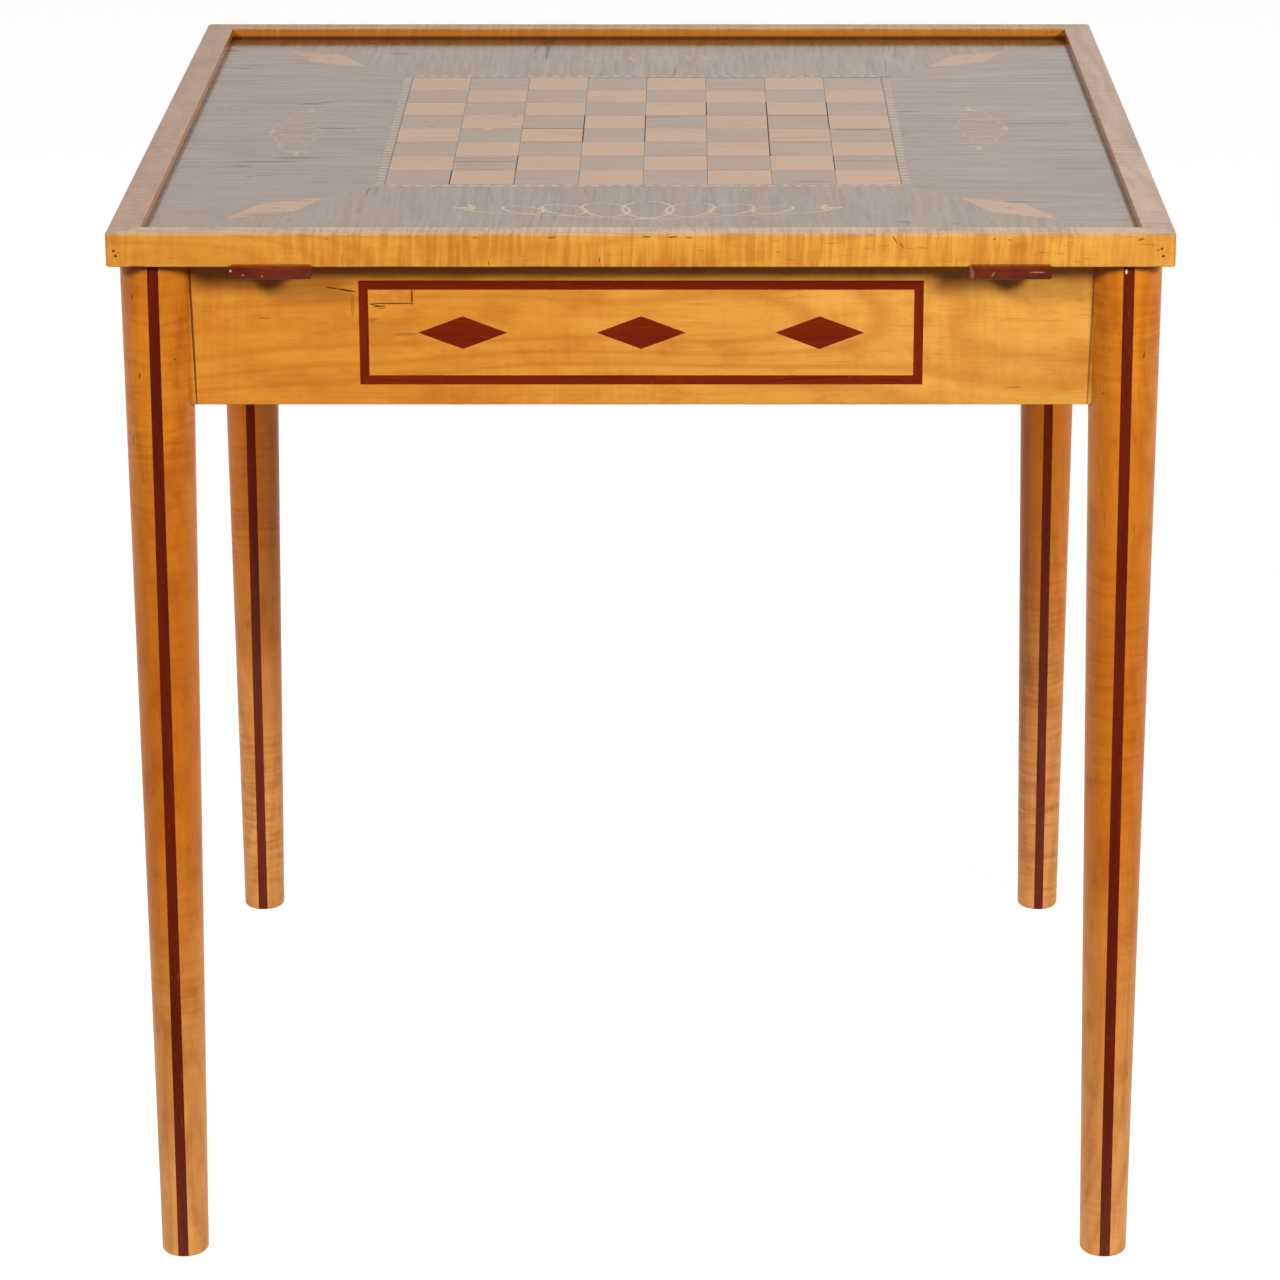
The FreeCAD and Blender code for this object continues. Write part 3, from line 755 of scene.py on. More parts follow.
@dataclass(frozen=True)
class Steel:
    """Dull steel of screws and brads."""

    name: str = "dull_steel"
    bright: Colour = (0.34, 0.31, 0.28)
    dull: Colour = (0.12, 0.09, 0.07)
    rust_per_metre: float = 900.0
    relief: float = 0.00002
    metal: float = 0.9

    def material(self) -> bpy.types.Material:
        """The steel, rusted here and there.

        Returns:
            The finished material.
        """
        paint = Paint(self.name)
        rust = paint.cloud(paint.stretched(paint.place, (self.rust_per_metre,) * 3), 3, 0.6)
        colour = paint.mix(rust.between(0.4, 0.65), self.bright, self.dull)
        return paint.finish(Coat(colour, rust * 0.4 + 0.3, rust), self.relief, metal=self.metal)


# ------------------------------------------------------------------ mesh work


def linked(name: str, data: bpy.types.ID) -> bpy.types.Object:
    """A new object of the scene that holds some data.

    Args:
        name: The object's name.
        data: Its mesh, curve, light or camera.

    Returns:
        The object, at the origin.
    """
    thing = bpy.data.objects.new(name, data)
    bpy.context.scene.collection.objects.link(thing)
    return thing


def mesh_object(name: str, mesh: bpy.types.Mesh, material: bpy.types.Material) -> bpy.types.Object:
    """An object of the scene that holds a mesh in one material.

    Args:
        name: The object's name.
        mesh: Its mesh.
        material: Its only material.

    Returns:
        The object, at the origin.
    """
    mesh.materials.clear()
    mesh.materials.append(material)
    return linked(name, mesh)


def plain(piece: bpy.types.Object, name: str, material: bpy.types.Material) -> bpy.types.Object:
    """Turn an object with modifiers into a plain mesh object.

    Args:
        piece: The object, which is removed.
        name: The new object's name.
        material: Its only material.

    Returns:
        The new object.
    """
    graph = bpy.context.evaluated_depsgraph_get()
    mesh = bpy.data.meshes.new_from_object(
        piece.evaluated_get(graph), preserve_all_data_layers=True, depsgraph=graph
    )
    bpy.data.objects.remove(piece)
    return mesh_object(name, mesh, material)


def shaded(piece: bpy.types.Object, angle: float = 35.0) -> bpy.types.Object:
    """Shade a piece smooth between its sharp edges, with its large faces left flat.

    Args:
        piece: The piece, which is removed.
        angle: The least angle of a sharp edge, in degrees.

    Returns:
        The shaded piece.
    """
    mesh = piece.data
    mesh.polygons.foreach_set("use_smooth", [True] * len(mesh.polygons))
    mesh.set_sharp_from_angle(angle=math.radians(angle))
    weighted = piece.modifiers.new("weighted", "WEIGHTED_NORMAL")
    weighted.keep_sharp = True
    return plain(piece, piece.name, mesh.materials[0])


@contextmanager
def reworked(mesh: bpy.types.Mesh) -> Iterator[bmesh.types.BMesh]:
    """Open a mesh for bmesh's operations and write it back at the end.

    Args:
        mesh: The mesh.

    Yields:
        The open mesh.
    """
    work = bmesh.new()
    work.from_mesh(mesh)
    yield work
    work.to_mesh(mesh)
    work.free()


def rounded(
    work: bmesh.types.BMesh, edges: Sequence[bmesh.types.BMEdge], radius: float, steps: int
) -> None:
    """Round some edges of an open mesh."""
    bmesh.ops.bevel(work, geom=edges, offset=radius, segments=steps, profile=0.5, affect="EDGES")


def lofted(
    name: str,
    sections: Sequence[Sequence[Point]],
    material: bpy.types.Material,
    turn: Matrix | None = None,
) -> bpy.types.Object:
    """A closed solid through sections, with its doubled points merged and its faces outwards.

    Args:
        name: The piece's name.
        sections: Rings of as many points each, in metres.
        material: What it is made of.
        turn: A transform to apply to the points.

    Returns:
        The new object.
    """
    count = len(sections[0])
    points = [point for section in sections for point in section]
    ends = [tuple(range(count)), tuple(reversed(range(len(points) - count, len(points))))]
    faces: list[Sequence[int]] = []
    for low in range(0, len(points) - count, count):
        for index in range(count):
            following = (index + 1) % count
            faces.append((low + index, low + following, low + count + following, low + count + index))
    mesh = bpy.data.meshes.new(name)
    mesh.from_pydata(points, [], faces + ends)
    with reworked(mesh) as work:
        bmesh.ops.remove_doubles(work, verts=work.verts, dist=WELD)
        bmesh.ops.dissolve_degenerate(work, edges=work.edges, dist=WELD)
        if turn is not None:
            bmesh.ops.transform(work, matrix=turn, verts=work.verts)
        bmesh.ops.recalc_face_normals(work, faces=work.faces)
    return shaded(mesh_object(name, mesh, material))


def arc(centre: tuple[float, float], radius: float, start: float, end: float, steps: int) -> list:
    """Points on an arc between two angles in degrees, both ends included."""
    turns = [math.radians(start + (end - start) * i / steps) for i in range(steps + 1)]
    return [(centre[0] + radius * math.cos(t), centre[1] + radius * math.sin(t)) for t in turns]


def drawn_lines(name: str, lines: Sequence[Sequence[tuple[Vector, float]]]) -> bpy.types.Object:
    """A curve of straight runs.

    Args:
        name: Its name.
        lines: Each line as a row of places, with the curve's radius at each.

    Returns:
        The curve as an object of the scene.
    """
    data = bpy.data.curves.new(name, "CURVE")
    data.dimensions = "3D"
    for line in lines:
        spline = data.splines.new("POLY")
        spline.points.add(len(line) - 1)
        for point, (place, radius) in zip(spline.points, line):
            point.co = (*place, 1)
            point.radius = radius
    return linked(name, data)


def point_cloud(name: str, places: Sequence[Point], spans: Sequence[Point] = ()) -> bpy.types.Object:
    """Loose points.

    Args:
        name: The name of the object that holds them.
        places: Where they are.
        spans: The three sizes of what stands at each, for its attribute "span".

    Returns:
        The object.
    """
    mesh = bpy.data.meshes.new(name)
    mesh.from_pydata(places, [], [])
    if spans:
        attribute = mesh.attributes.new("span", "FLOAT_VECTOR", "POINT")
        attribute.data.foreach_set("vector", [value for span in spans for value in span])
    return linked(name, mesh)


class Grower(Bench):
    """A Geometry Nodes tree that is applied to a base object and then thrown away."""

    def __init__(self, name: str, sizes: dict[str, float]) -> None:
        """Make the tree with a geometry socket and one named number socket for each size.

        Args:
            name: The tree's name.
            sizes: The names and values of its sizes.
        """
        tree = bpy.data.node_groups.new(name, "GeometryNodeTree")
        super().__init__(tree)
        self.sizes = sizes
        tree.interface.new_socket("Geometry", in_out="INPUT", socket_type="NodeSocketGeometry")
        for size in sizes:
            tree.interface.new_socket(size, in_out="INPUT", socket_type="NodeSocketFloat")
        tree.interface.new_socket("Geometry", in_out="OUTPUT", socket_type="NodeSocketGeometry")
        self.entry = self.add("NodeGroupInput")
        self.geometry = self.size("Geometry")

    def size(self, name: str) -> Term:
        """One of the tree's named inputs."""
        return Term(self, self.entry.outputs[name])

    def vector(self, x: Term | float = 0.0, y: Term | float = 0.0, z: Term | float = 0.0) -> Term:
        """A vector of three values."""
        return self.node("ShaderNodeCombineXYZ", {0: x, 1: y, 2: z})

    def cube(self, size: Term) -> Term:
        """A box of that size."""
        return self.node("GeometryNodeMeshCube", {"Size": size})

    def cylinder(self, vertices: int, radius: str, depth: str) -> Term:
        """A cylinder; its radius and its depth are two of the tree's sizes."""
        sockets = {"Vertices": vertices, "Radius": self.size(radius), "Depth": self.size(depth)}
        return self.node("GeometryNodeMeshCylinder", sockets)

    def moved(self, geometry: Term, way: Term) -> Term:
        """Some geometry moved by a vector."""
        return self.node("GeometryNodeTransform", {"Geometry": geometry, "Translation": way})

    def joined(self, *geometries: Term) -> Term:
        """Several geometries as one.

        Args:
            geometries: The geometries, in their order.

        Returns:
            The whole.
        """
        join = self.add("GeometryNodeJoinGeometry")
        for geometry in geometries:
            self.feed(join.inputs[0], geometry)
        return Term(self, join.outputs[0])

    def on_points(self, points: object, instance: Term, more: Sockets | None = None) -> Term:
        """Copies of a geometry on points; more holds their scale or turn."""
        sockets = {"Points": points, "Instance": instance, **(more or {})}
        return self.node("GeometryNodeInstanceOnPoints", sockets)

    def grow(
        self, geometry: Term, base: bpy.types.Object, name: str, material: bpy.types.Material
    ) -> bpy.types.Object:
        """End the tree with real geometry in one material and apply it to a base object.

        Args:
            geometry: What the tree has made.
            base: The object whose geometry enters the tree; it is removed.
            name: The name of the piece that comes out.
            material: The piece's material.

        Returns:
            The piece, a plain mesh.
        """
        real = self.node("GeometryNodeRealizeInstances", {0: geometry})
        dressed = self.node("GeometryNodeSetMaterial", {"Geometry": real, "Material": material})
        self.add("NodeGroupOutput", {0: dressed})
        modifier = base.modifiers.new(name, "NODES")
        modifier.node_group = self.tree
        for item in self.tree.interface.items_tree:
            if item.in_out == "INPUT" and item.name in self.sizes:
                modifier[item.identifier] = self.sizes[item.name]
        return plain(base, name, material)


def settle(
    piece: bpy.types.Object, nodes: Sequence[str] = (), body: str = CARCASE
) -> None:
    """Give a piece its body and the CAD nodes that it stands for.

    Args:
        piece: The piece.
        nodes: The CAD nodes that it replaces.
        body: The body that it rides on.
    """
    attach(piece, body)
    if nodes:
        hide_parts(*nodes)
    LOG.info("made %s: %d faces on %s", piece.name, len(piece.data.polygons), body)


def dress(material: bpy.types.Material, *nodes: str) -> None:
    """Give CAD nodes that stay in view their material.

    Args:
        material: The material.
        nodes: The nodes' names.
    """
    for node in nodes:
        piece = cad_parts[node]
        if not piece.material_slots:
            piece.data.materials.append(material)
        for material_slot in piece.material_slots:
            material_slot.material = material
        LOG.info("dressed %s in %s", node, material.name)


# ------------------------------------------------------------------ the table's plan


@dataclass(frozen=True)
class Plan:
    """The table's main sizes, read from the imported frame."""

    half: float
    top: float
    underside: float
    rail: float
    board: float
    ground: float
    field_half: float
    border_half: float
    apron_bottom: float

    @classmethod
    def from_frame(cls, border_width: float = 0.0072) -> Plan:
        """Read the sizes from the boxes of the CAD nodes.

        Args:
            border_width: The width of the strip round the squares.

        Returns:
            The plan.
        """
        rail_low, rail_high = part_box("frame_rail_front")
        squares_low, squares_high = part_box("light_squares")
        border_half = -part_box("border_strip_front")[0].y
        return cls(
            half=-rail_low.y,
            top=rail_high.z,
            underside=rail_low.z,
            rail=rail_high.y - rail_low.y,
            board=squares_high.z,
            ground=squares_low.z,
            field_half=border_half - border_width,
            border_half=border_half,
            apron_bottom=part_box("apron_front")[0].z,
        )


@dataclass
class Part:
    """A sub-assembly of the table, with the plan and the finishes that it is made from."""

    plan: Plan
    finishes: Finishes


# ------------------------------------------------------------------ the tray's frame


@dataclass(frozen=True)
class Chip:
    """A place where an edge of a rail is worn away, in millimetres along the rail."""

    along: float
    half_length: float
    depth: float


@dataclass
class TrayFrame(Part):
    """The four mitred rails round the board, their edges rounded by wear."""

    corner_radius: float = 0.0035
    edge_radius: float = 0.0008
    wear: float = 0.0007
    wear_per_metre: float = 22.0
    groove_low: float = 0.0045
    groove_high: float = 0.0085
    groove_depth: float = 0.005
    joint_gap: float = 0.00006
    stations: int = 140
    corner_steps: int = 6
    edge_seeds: tuple[float, float, float] = (3.1, 7.7, 12.9)
    edge_steps: tuple[int, int, int] = (4, 5, 4)
    chips: dict[Side, tuple[Chip, ...]] = field(
        default_factory=lambda: {
            Side.FRONT: (Chip(-333.0, 5.0, 0.0016), Chip(-327.0, 2.0, 0.0008), Chip(343.0, 4.0, 0.0012)),
            Side.RIGHT: (Chip(-120.0, 5.0, 0.0009),),
            Side.REAR: (Chip(210.0, 6.0, 0.001),),
            Side.LEFT: (Chip(60.0, 4.0, 0.0008),),
        }
    )

    def edge(self, side: Side, along: float, seed: float) -> float:
        """How far an edge is rounded at a place.

        Args:
            side: The rail's side of the table.
            along: The place along the rail, from its middle.
            seed: A number that is the edge's own.

        Returns:
            The radius of the rounding.
        """
        spot = Vector((along * self.wear_per_metre, seed + side.value, 0.0))
        worn = max(noise.noise(spot), 0.0) * self.wear
        for chip in self.chips[side]:
            away = (along / MM - chip.along) / chip.half_length
            worn += chip.depth * max(1 - away * away, 0.0) ** 2
        return self.edge_radius + worn

    def section(self, side: Side, along: float) -> list[tuple[float, float]]:
        """The rail's section at a place.

        Args:
            side: The rail's side of the table.
            along: The place along the rail, from its middle.

        Returns:
            Distances from the rail's outer face, with their levels.
        """
        low, high, wide = self.plan.underside, self.plan.top, self.plan.rail
        foot, outer, inner = (self.edge(side, along, seed) for seed in self.edge_seeds)
        foot_steps, outer_steps, inner_steps = self.edge_steps
        points = arc((foot, low + foot), foot, 270, 180, foot_steps)
        points += arc((outer, high - outer), outer, 180, 90, outer_steps)
        points += arc((wide - inner, high - inner), inner, 90, 0, inner_steps)
        groove = wide - self.groove_depth
        points += [(wide, low + self.groove_high), (groove, low + self.groove_high)]
        points += [(groove, low + self.groove_low), (wide, low + self.groove_low), (wide, low)]
        return points

    def on_rail(self, inset: float, step: float) -> tuple[float, float]:
        """X and Y of a point on the front rail.

        Args:
            inset: Distance from the rail's outer face.
            step: From -1 to 1 along the straight part, and beyond that round the corner to 2.

        Returns:
            The point in plan, held short of the mitre by the joint's gap.
        """
        start = max(inset, self.corner_radius)
        round_off = start - inset
        along, turn = min(abs(step), 1.0), max(abs(step) - 1.0, 0.0) * math.radians(45)
        x = along * (self.plan.half - start) + round_off * math.sin(turn) - self.joint_gap
        return math.copysign(x, step), start - self.plan.half - round_off * math.cos(turn)

    def rail(self, side: Side) -> None:
        """Build one rail.

        Args:
            side: Its side of the table.
        """
        straight = [-1 + 2 * i / self.stations for i in range(self.stations + 1)]
        corner = [1 + i / self.corner_steps for i in range(1, self.corner_steps + 1)]
        rings = []
        for step in [-s for s in reversed(corner)] + straight + corner:
            section = self.section(side, max(-1.0, min(1.0, step)) * self.plan.half)
            rings.append([(*self.on_rail(inset, step), level) for inset, level in section])
        wood = self.finishes.rails[side]
        piece = lofted(f"tray_rail_{side.label}", rings, wood, side.turn)
        settle(piece, [f"frame_rail_{side.label}"])

    def build(self) -> None:
        """Build the four rails."""
        for side in Side:
            self.rail(side)


# ------------------------------------------------------------------ the marquetry


@dataclass(frozen=True)
class OpenJoint:
    """A joint between squares that has opened: a line of the field, the squares along it, a width."""

    upright: bool
    line: int
    first: int
    last: int
    width: float


@dataclass
class Board(Part):
    """The 64 squares, let in with joints that have opened here and there."""

    rows: int = 8
    seed: int = 11
    tight: tuple[float, float] = (0.00002, 0.00009)
    lift: float = 0.00012
    edge_round: float = 0.00018
    glue_inset: float = 0.001
    glue_gap: float = 0.0001
    glue_depth: float = 0.0019
    open_joints: tuple[OpenJoint, ...] = (
        OpenJoint(True, 0, 0, 7, 0.0004),
        OpenJoint(True, 1, 0, 0, 0.0008),
        OpenJoint(True, 2, 1, 1, 0.0006),
        OpenJoint(True, 2, 0, 0, 0.0004),
        OpenJoint(True, 3, 3, 4, 0.0007),
        OpenJoint(True, 4, 3, 4, 0.0006),
        OpenJoint(True, 5, 5, 5, 0.0007),
        OpenJoint(True, 6, 2, 5, 0.0007),
        OpenJoint(True, 7, 4, 5, 0.0006),
        OpenJoint(True, 7, 1, 1, 0.0005),
        OpenJoint(True, 8, 0, 7, 0.0004),
        OpenJoint(False, 0, 1, 1, 0.0016),
        OpenJoint(False, 0, 4, 7, 0.0006),
        OpenJoint(False, 5, 6, 6, 0.0014),
        OpenJoint(False, 3, 6, 6, 0.0012),
        OpenJoint(False, 4, 2, 2, 0.0012),
        OpenJoint(False, 3, 2, 2, 0.0010),
        OpenJoint(False, 1, 5, 5, 0.0007),
    )

    @property
    def pitch(self) -> float:
        """The side of one square with its share of the joints."""
        return self.plan.field_half * 2 / self.rows

    def trim(self, upright: bool, line: int, square: int, lots: random.Random) -> float:
        """How much a square gives up at one joint.

        Args:
            upright: Whether the joint runs from front to rear.
            line: The joint's line of the field.
            square: The square's number along that line.
            lots: The source of chance.

        Returns:
            The width that the square loses.
        """
        width = lots.uniform(*self.tight)
        for joint in self.open_joints:
            if (joint.upright, joint.line) == (upright, line) and joint.first <= square <= joint.last:
                width = max(width, joint.width / 2)
        return width

    def squares(self, tone: str, material: bpy.types.Material) -> None:
        """Build the squares of one tone.

        Args:
            tone: "light" or "dark".
            material: Their veneer.
        """
        light = tone == "light"
        lots = random.Random(self.seed + light)
        places, spans = [], []
        thickness = self.plan.board - self.plan.ground
        for row in range(self.rows):
            for column in range(self.rows):
                west = self.trim(True, column, row, lots)
                east = self.trim(True, column + 1, row, lots)
                near = self.trim(False, row, column, lots)
                far = self.trim(False, row + 1, column, lots)
                rise = lots.uniform(-self.lift, 0.0)
                if (row + column) % 2 == light:
                    x = -self.plan.field_half + self.pitch * (column + 0.5) + (west - east) / 2
                    y = -self.plan.field_half + self.pitch * (row + 0.5) + (near - far) / 2
                    places.append((x, y, self.plan.ground + (thickness + rise) / 2))
                    spans.append((self.pitch - west - east, self.pitch - near - far, thickness + rise))
        grower = Grower("lay_squares", {"Tile size": 1.0})
        span = grower.node(
            "GeometryNodeInputNamedAttribute", {"Name": "span"}, data_type="FLOAT_VECTOR"
        )
        tile = grower.cube(grower.vector(*[grower.size("Tile size")] * 3))
        laid = grower.on_points(grower.geometry, tile, {"Scale": span})
        piece = grower.grow(laid, point_cloud(tone, places, spans), f"chess_squares_{tone}", material)
        top = self.plan.board - self.lift * 2
        with reworked(piece.data) as work:
            upper = [e for e in work.edges if all(v.co.z > top for v in e.verts)]
            rounded(work, upper, self.edge_round, 2)
        settle(shaded(piece), [f"{tone}_squares"])

    def glue(self) -> None:
        """Build the dark glue under the squares that shows in the open joints."""
        half, low = self.plan.border_half - self.glue_inset, self.plan.ground + self.glue_gap
        ring = [(-half, -half), (half, -half), (half, half), (-half, half)]
        rings = [[(x, y, z) for x, y in ring] for z in (low, low + self.glue_depth)]
        settle(lofted("glue_bed", rings, self.finishes.glue))

    def build(self) -> None:
        """Lay the glue bed and both tones of squares."""
        self.glue()
        self.squares("light", self.finishes.light_squares)
        self.squares("dark", self.finishes.dark_squares)


@dataclass
class Banding(Part):
    """The border round the squares: a plain strip crossed by short light rungs."""

    pitch: float = 0.0092
    rung_width: float = 0.0042
    margin: float = 0.0011
    depth: float = 0.0006
    proud: float = 0.00004

    def rungs(self) -> None:
        """Lay the rungs along the middle line of the strip."""
        middle = (self.plan.border_half + self.plan.field_half) / 2
        reach = middle - self.pitch
        ends = [Vector((x, -middle, self.plan.board)) for x in (-reach, reach)]
        base = drawn_lines("banding_line", [[(side.turn @ end, 1.0) for end in ends] for side in Side])
        sizes = {
            "Pitch": self.pitch,
            "Rung width": self.rung_width,
            "Rung length": self.plan.border_half - self.plan.field_half - self.margin * 2,
            "Rung depth": self.depth,
        }
        grower = Grower("lay_rungs", sizes)
        spaced = {"Curve": grower.geometry, "Length": grower.size("Pitch")}
        points = grower.add("GeometryNodeCurveToPoints", spaced, mode="LENGTH")
        rung = grower.cube(grower.vector(*[grower.size(name) for name in list(sizes)[1:]]))
        tangent = {"Vector": points.outputs["Tangent"]}
        turned = grower.node("FunctionNodeAlignRotationToVector", tangent, axis="X")
        laid = grower.on_points(points.outputs["Points"], rung, {"Rotation": turned})
        piece = grower.grow(laid, base, "banding_rungs", self.finishes.rung)
        piece.data.transform(Matrix.Translation((0.0, 0.0, self.proud - self.depth / 2)))
        settle(shaded(piece))

    def build(self) -> None:
        """Dress the strips and lay the rungs."""
        dress(self.finishes.border, *(f"border_strip_{side.label}" for side in Side))
        self.rungs()


@dataclass(frozen=True)
class Scroll:
    """One inlaid flourish: its side, its middle from the table's, its length and its height."""

    side: Side
    aside: float
    out: float
    length: float
    height: float
    loops: int


@dataclass
class Ornament(Part):
    """Four looped flourishes of light wood in the dark surround, one on each side of the squares."""

    depth: float = 0.0005
    proud: float = 0.00002
    climb: float = 0.00002
    overlap: float = 0.000003
    thin: float = 0.00065
    thick: float = 0.00115
    slant: float = 0.8
    swing_loss: float = 0.7
    reach_loss: float = 0.3
    loop_reach: float = 0.74
    steps_per_loop: int = 40
    leaf_steps: int = 12
    leaf_length: float = 0.016
    leaf_half: float = 0.0024
    leaf_tip: float = 0.0001
    leaf_drop: float = 0.42
    leaves: tuple[tuple[float, float], ...] = ((0, 1.0), (55, 0.7), (-55, 0.7))
    scrolls: tuple[Scroll, ...] = (
        Scroll(Side.FRONT, 0.004, 0.2540, 0.262, 0.054, 4),
        Scroll(Side.RIGHT, 0.0, 0.2440, 0.136, 0.040, 3),
        Scroll(Side.REAR, 0.0, 0.2540, 0.104, 0.040, 2),
        Scroll(Side.LEFT, 0.011, 0.2520, 0.150, 0.040, 3),
    )

    def flourish(self, scroll: Scroll, hand: int) -> Stroke:
        """Half of the looping line, from the middle outwards, thick where it runs up and down.

        Args:
            scroll: The flourish's sizes.
            hand: -1 for its left half, 1 for its right half.

        Returns:
            Points in plan about the flourish's middle, each with half the line's width.
        """
        half_length, half_height = scroll.length / 2, scroll.height / 2
        count = scroll.loops * self.steps_per_loop
        spots = []
        for step in range(count + 1):
            share = step / count
            turn = share * scroll.loops * math.tau
            swing = half_height * (1 - self.swing_loss * share) * math.cos(turn)
            loop = self.loop_reach * half_length / scroll.loops * (1 - self.reach_loss * share)
            lean = self.slant * (swing - half_height) * share
            spots.append((hand * (share * half_length - loop * math.sin(turn) + lean), swing))
        line = []
        for index, (x, y) in enumerate(spots):
            ahead, behind = spots[min(index + 1, count)], spots[max(index - 1, 0)]
            dx, dy = ahead[0] - behind[0], ahead[1] - behind[1]
            steep = abs(dy) / math.hypot(dx, dy)
            line.append((x, y, self.thin + (self.thick - self.thin) * steep**2))
        return line

    def leaf(self, x: float, y: float, bearing: float, size: float) -> Stroke:
        """An almond leaf, drawn as a line that swells in the middle.

        Args:
            x: Where it starts.
            y: Where it starts.
            bearing: The way that it points, in degrees from +X.
            size: Its size; 1 is a whole leaf.

        Returns:
            Points in plan, each with half the line's width.
        """
        way = (math.cos(math.radians(bearing)), math.sin(math.radians(bearing)))
        line = []
        for step in range(self.leaf_steps + 1):
            share = step / self.leaf_steps
            along = share * self.leaf_length * size
            half = self.leaf_half * size * math.sin(math.pi * share) ** 0.8 + self.leaf_tip
            line.append((x + way[0] * along, y + way[1] * along, half))
        return line

    def strokes(self, scroll: Scroll) -> list[Stroke]:
        """Every line of a flourish.

        Args:
            scroll: The flourish's sizes.

        Returns:
            The lines, in plan about the flourish's middle.
        """
        strokes = []
        for hand in (-1, 1):
            strokes.append(self.flourish(scroll, hand))
            x, y, _ = strokes[-1][-1]
            strokes += [self.leaf(x, y, 90 - hand * (90 - turn), size) for turn, size in self.leaves]
        strokes.append(self.leaf(-self.leaf_length / 2, -scroll.height * self.leaf_drop, 0, 1.0))
        return strokes

    def curves(self, sides: Sequence[Side]) -> bpy.types.Object:
        """The lines of the flourishes on some of the table's sides.

        Args:
            sides: Those sides.

        Returns:
            The lines as a curve object, each line a hair above the one before.
        """
        lines = []
        for scroll in (scroll for scroll in self.scrolls if scroll.side in sides):
            for number, stroke in enumerate(self.strokes(scroll)):
                level = self.plan.board + self.proud + number * self.overlap
                line = []
                for index, (x, y, half) in enumerate(stroke):
                    rise = self.climb * index / len(stroke)
                    local = Vector((x + scroll.aside, y - scroll.out, level + rise))
                    line.append((scroll.side.turn @ local, half))
                lines.append(line)
        return drawn_lines("flourish_lines", lines)

    def let_in(self, name: str, sides: Sequence[Side], material: bpy.types.Material) -> None:
        """Sweep the lines as flat strips and let them in.

        Args:
            name: The name of the piece.
            sides: The sides of the table whose flourishes it holds.
            material: Its wood.
        """
        grower = Grower("let_in_flourishes", {"Width": 2.0, "Depth": self.depth})
        upright = grower.node("GeometryNodeSetCurveNormal", {"Curve": grower.geometry}, mode="Z_UP")
        start, end = (grower.vector(grower.size("Width") * half) for half in (-0.5, 0.5))
        across = grower.node("GeometryNodeCurvePrimitiveLine", {"Start": start, "End": end})
        radius = grower.node("GeometryNodeInputRadius")
        swept = {"Curve": upright, "Profile Curve": across, "Scale": radius}
        ribbons = grower.node("GeometryNodeCurveToMesh", swept)
        down = grower.vector(z=grower.size("Depth") * -1.0)
        thickness = {"Mesh": ribbons, "Offset": down, "Individual": False}
        sunk = grower.node("GeometryNodeExtrudeMesh", thickness)
        piece = grower.grow(grower.joined(ribbons, sunk), self.curves(sides), name, material)
        with reworked(piece.data) as work:
            bmesh.ops.remove_doubles(work, verts=work.verts, dist=LINE_WELD)
            bmesh.ops.recalc_face_normals(work, faces=work.faces)
        settle(shaded(piece))

    def build(self) -> None:
        """Let in the clear flourish of the front and the worn ones of the other sides."""
        self.let_in("front_flourish", (Side.FRONT,), self.finishes.ornament)
        worn_sides = (Side.RIGHT, Side.REAR, Side.LEFT)
        self.let_in("worn_flourishes", worn_sides, self.finishes.faint_ornament)


# ------------------------------------------------------------------ the legs


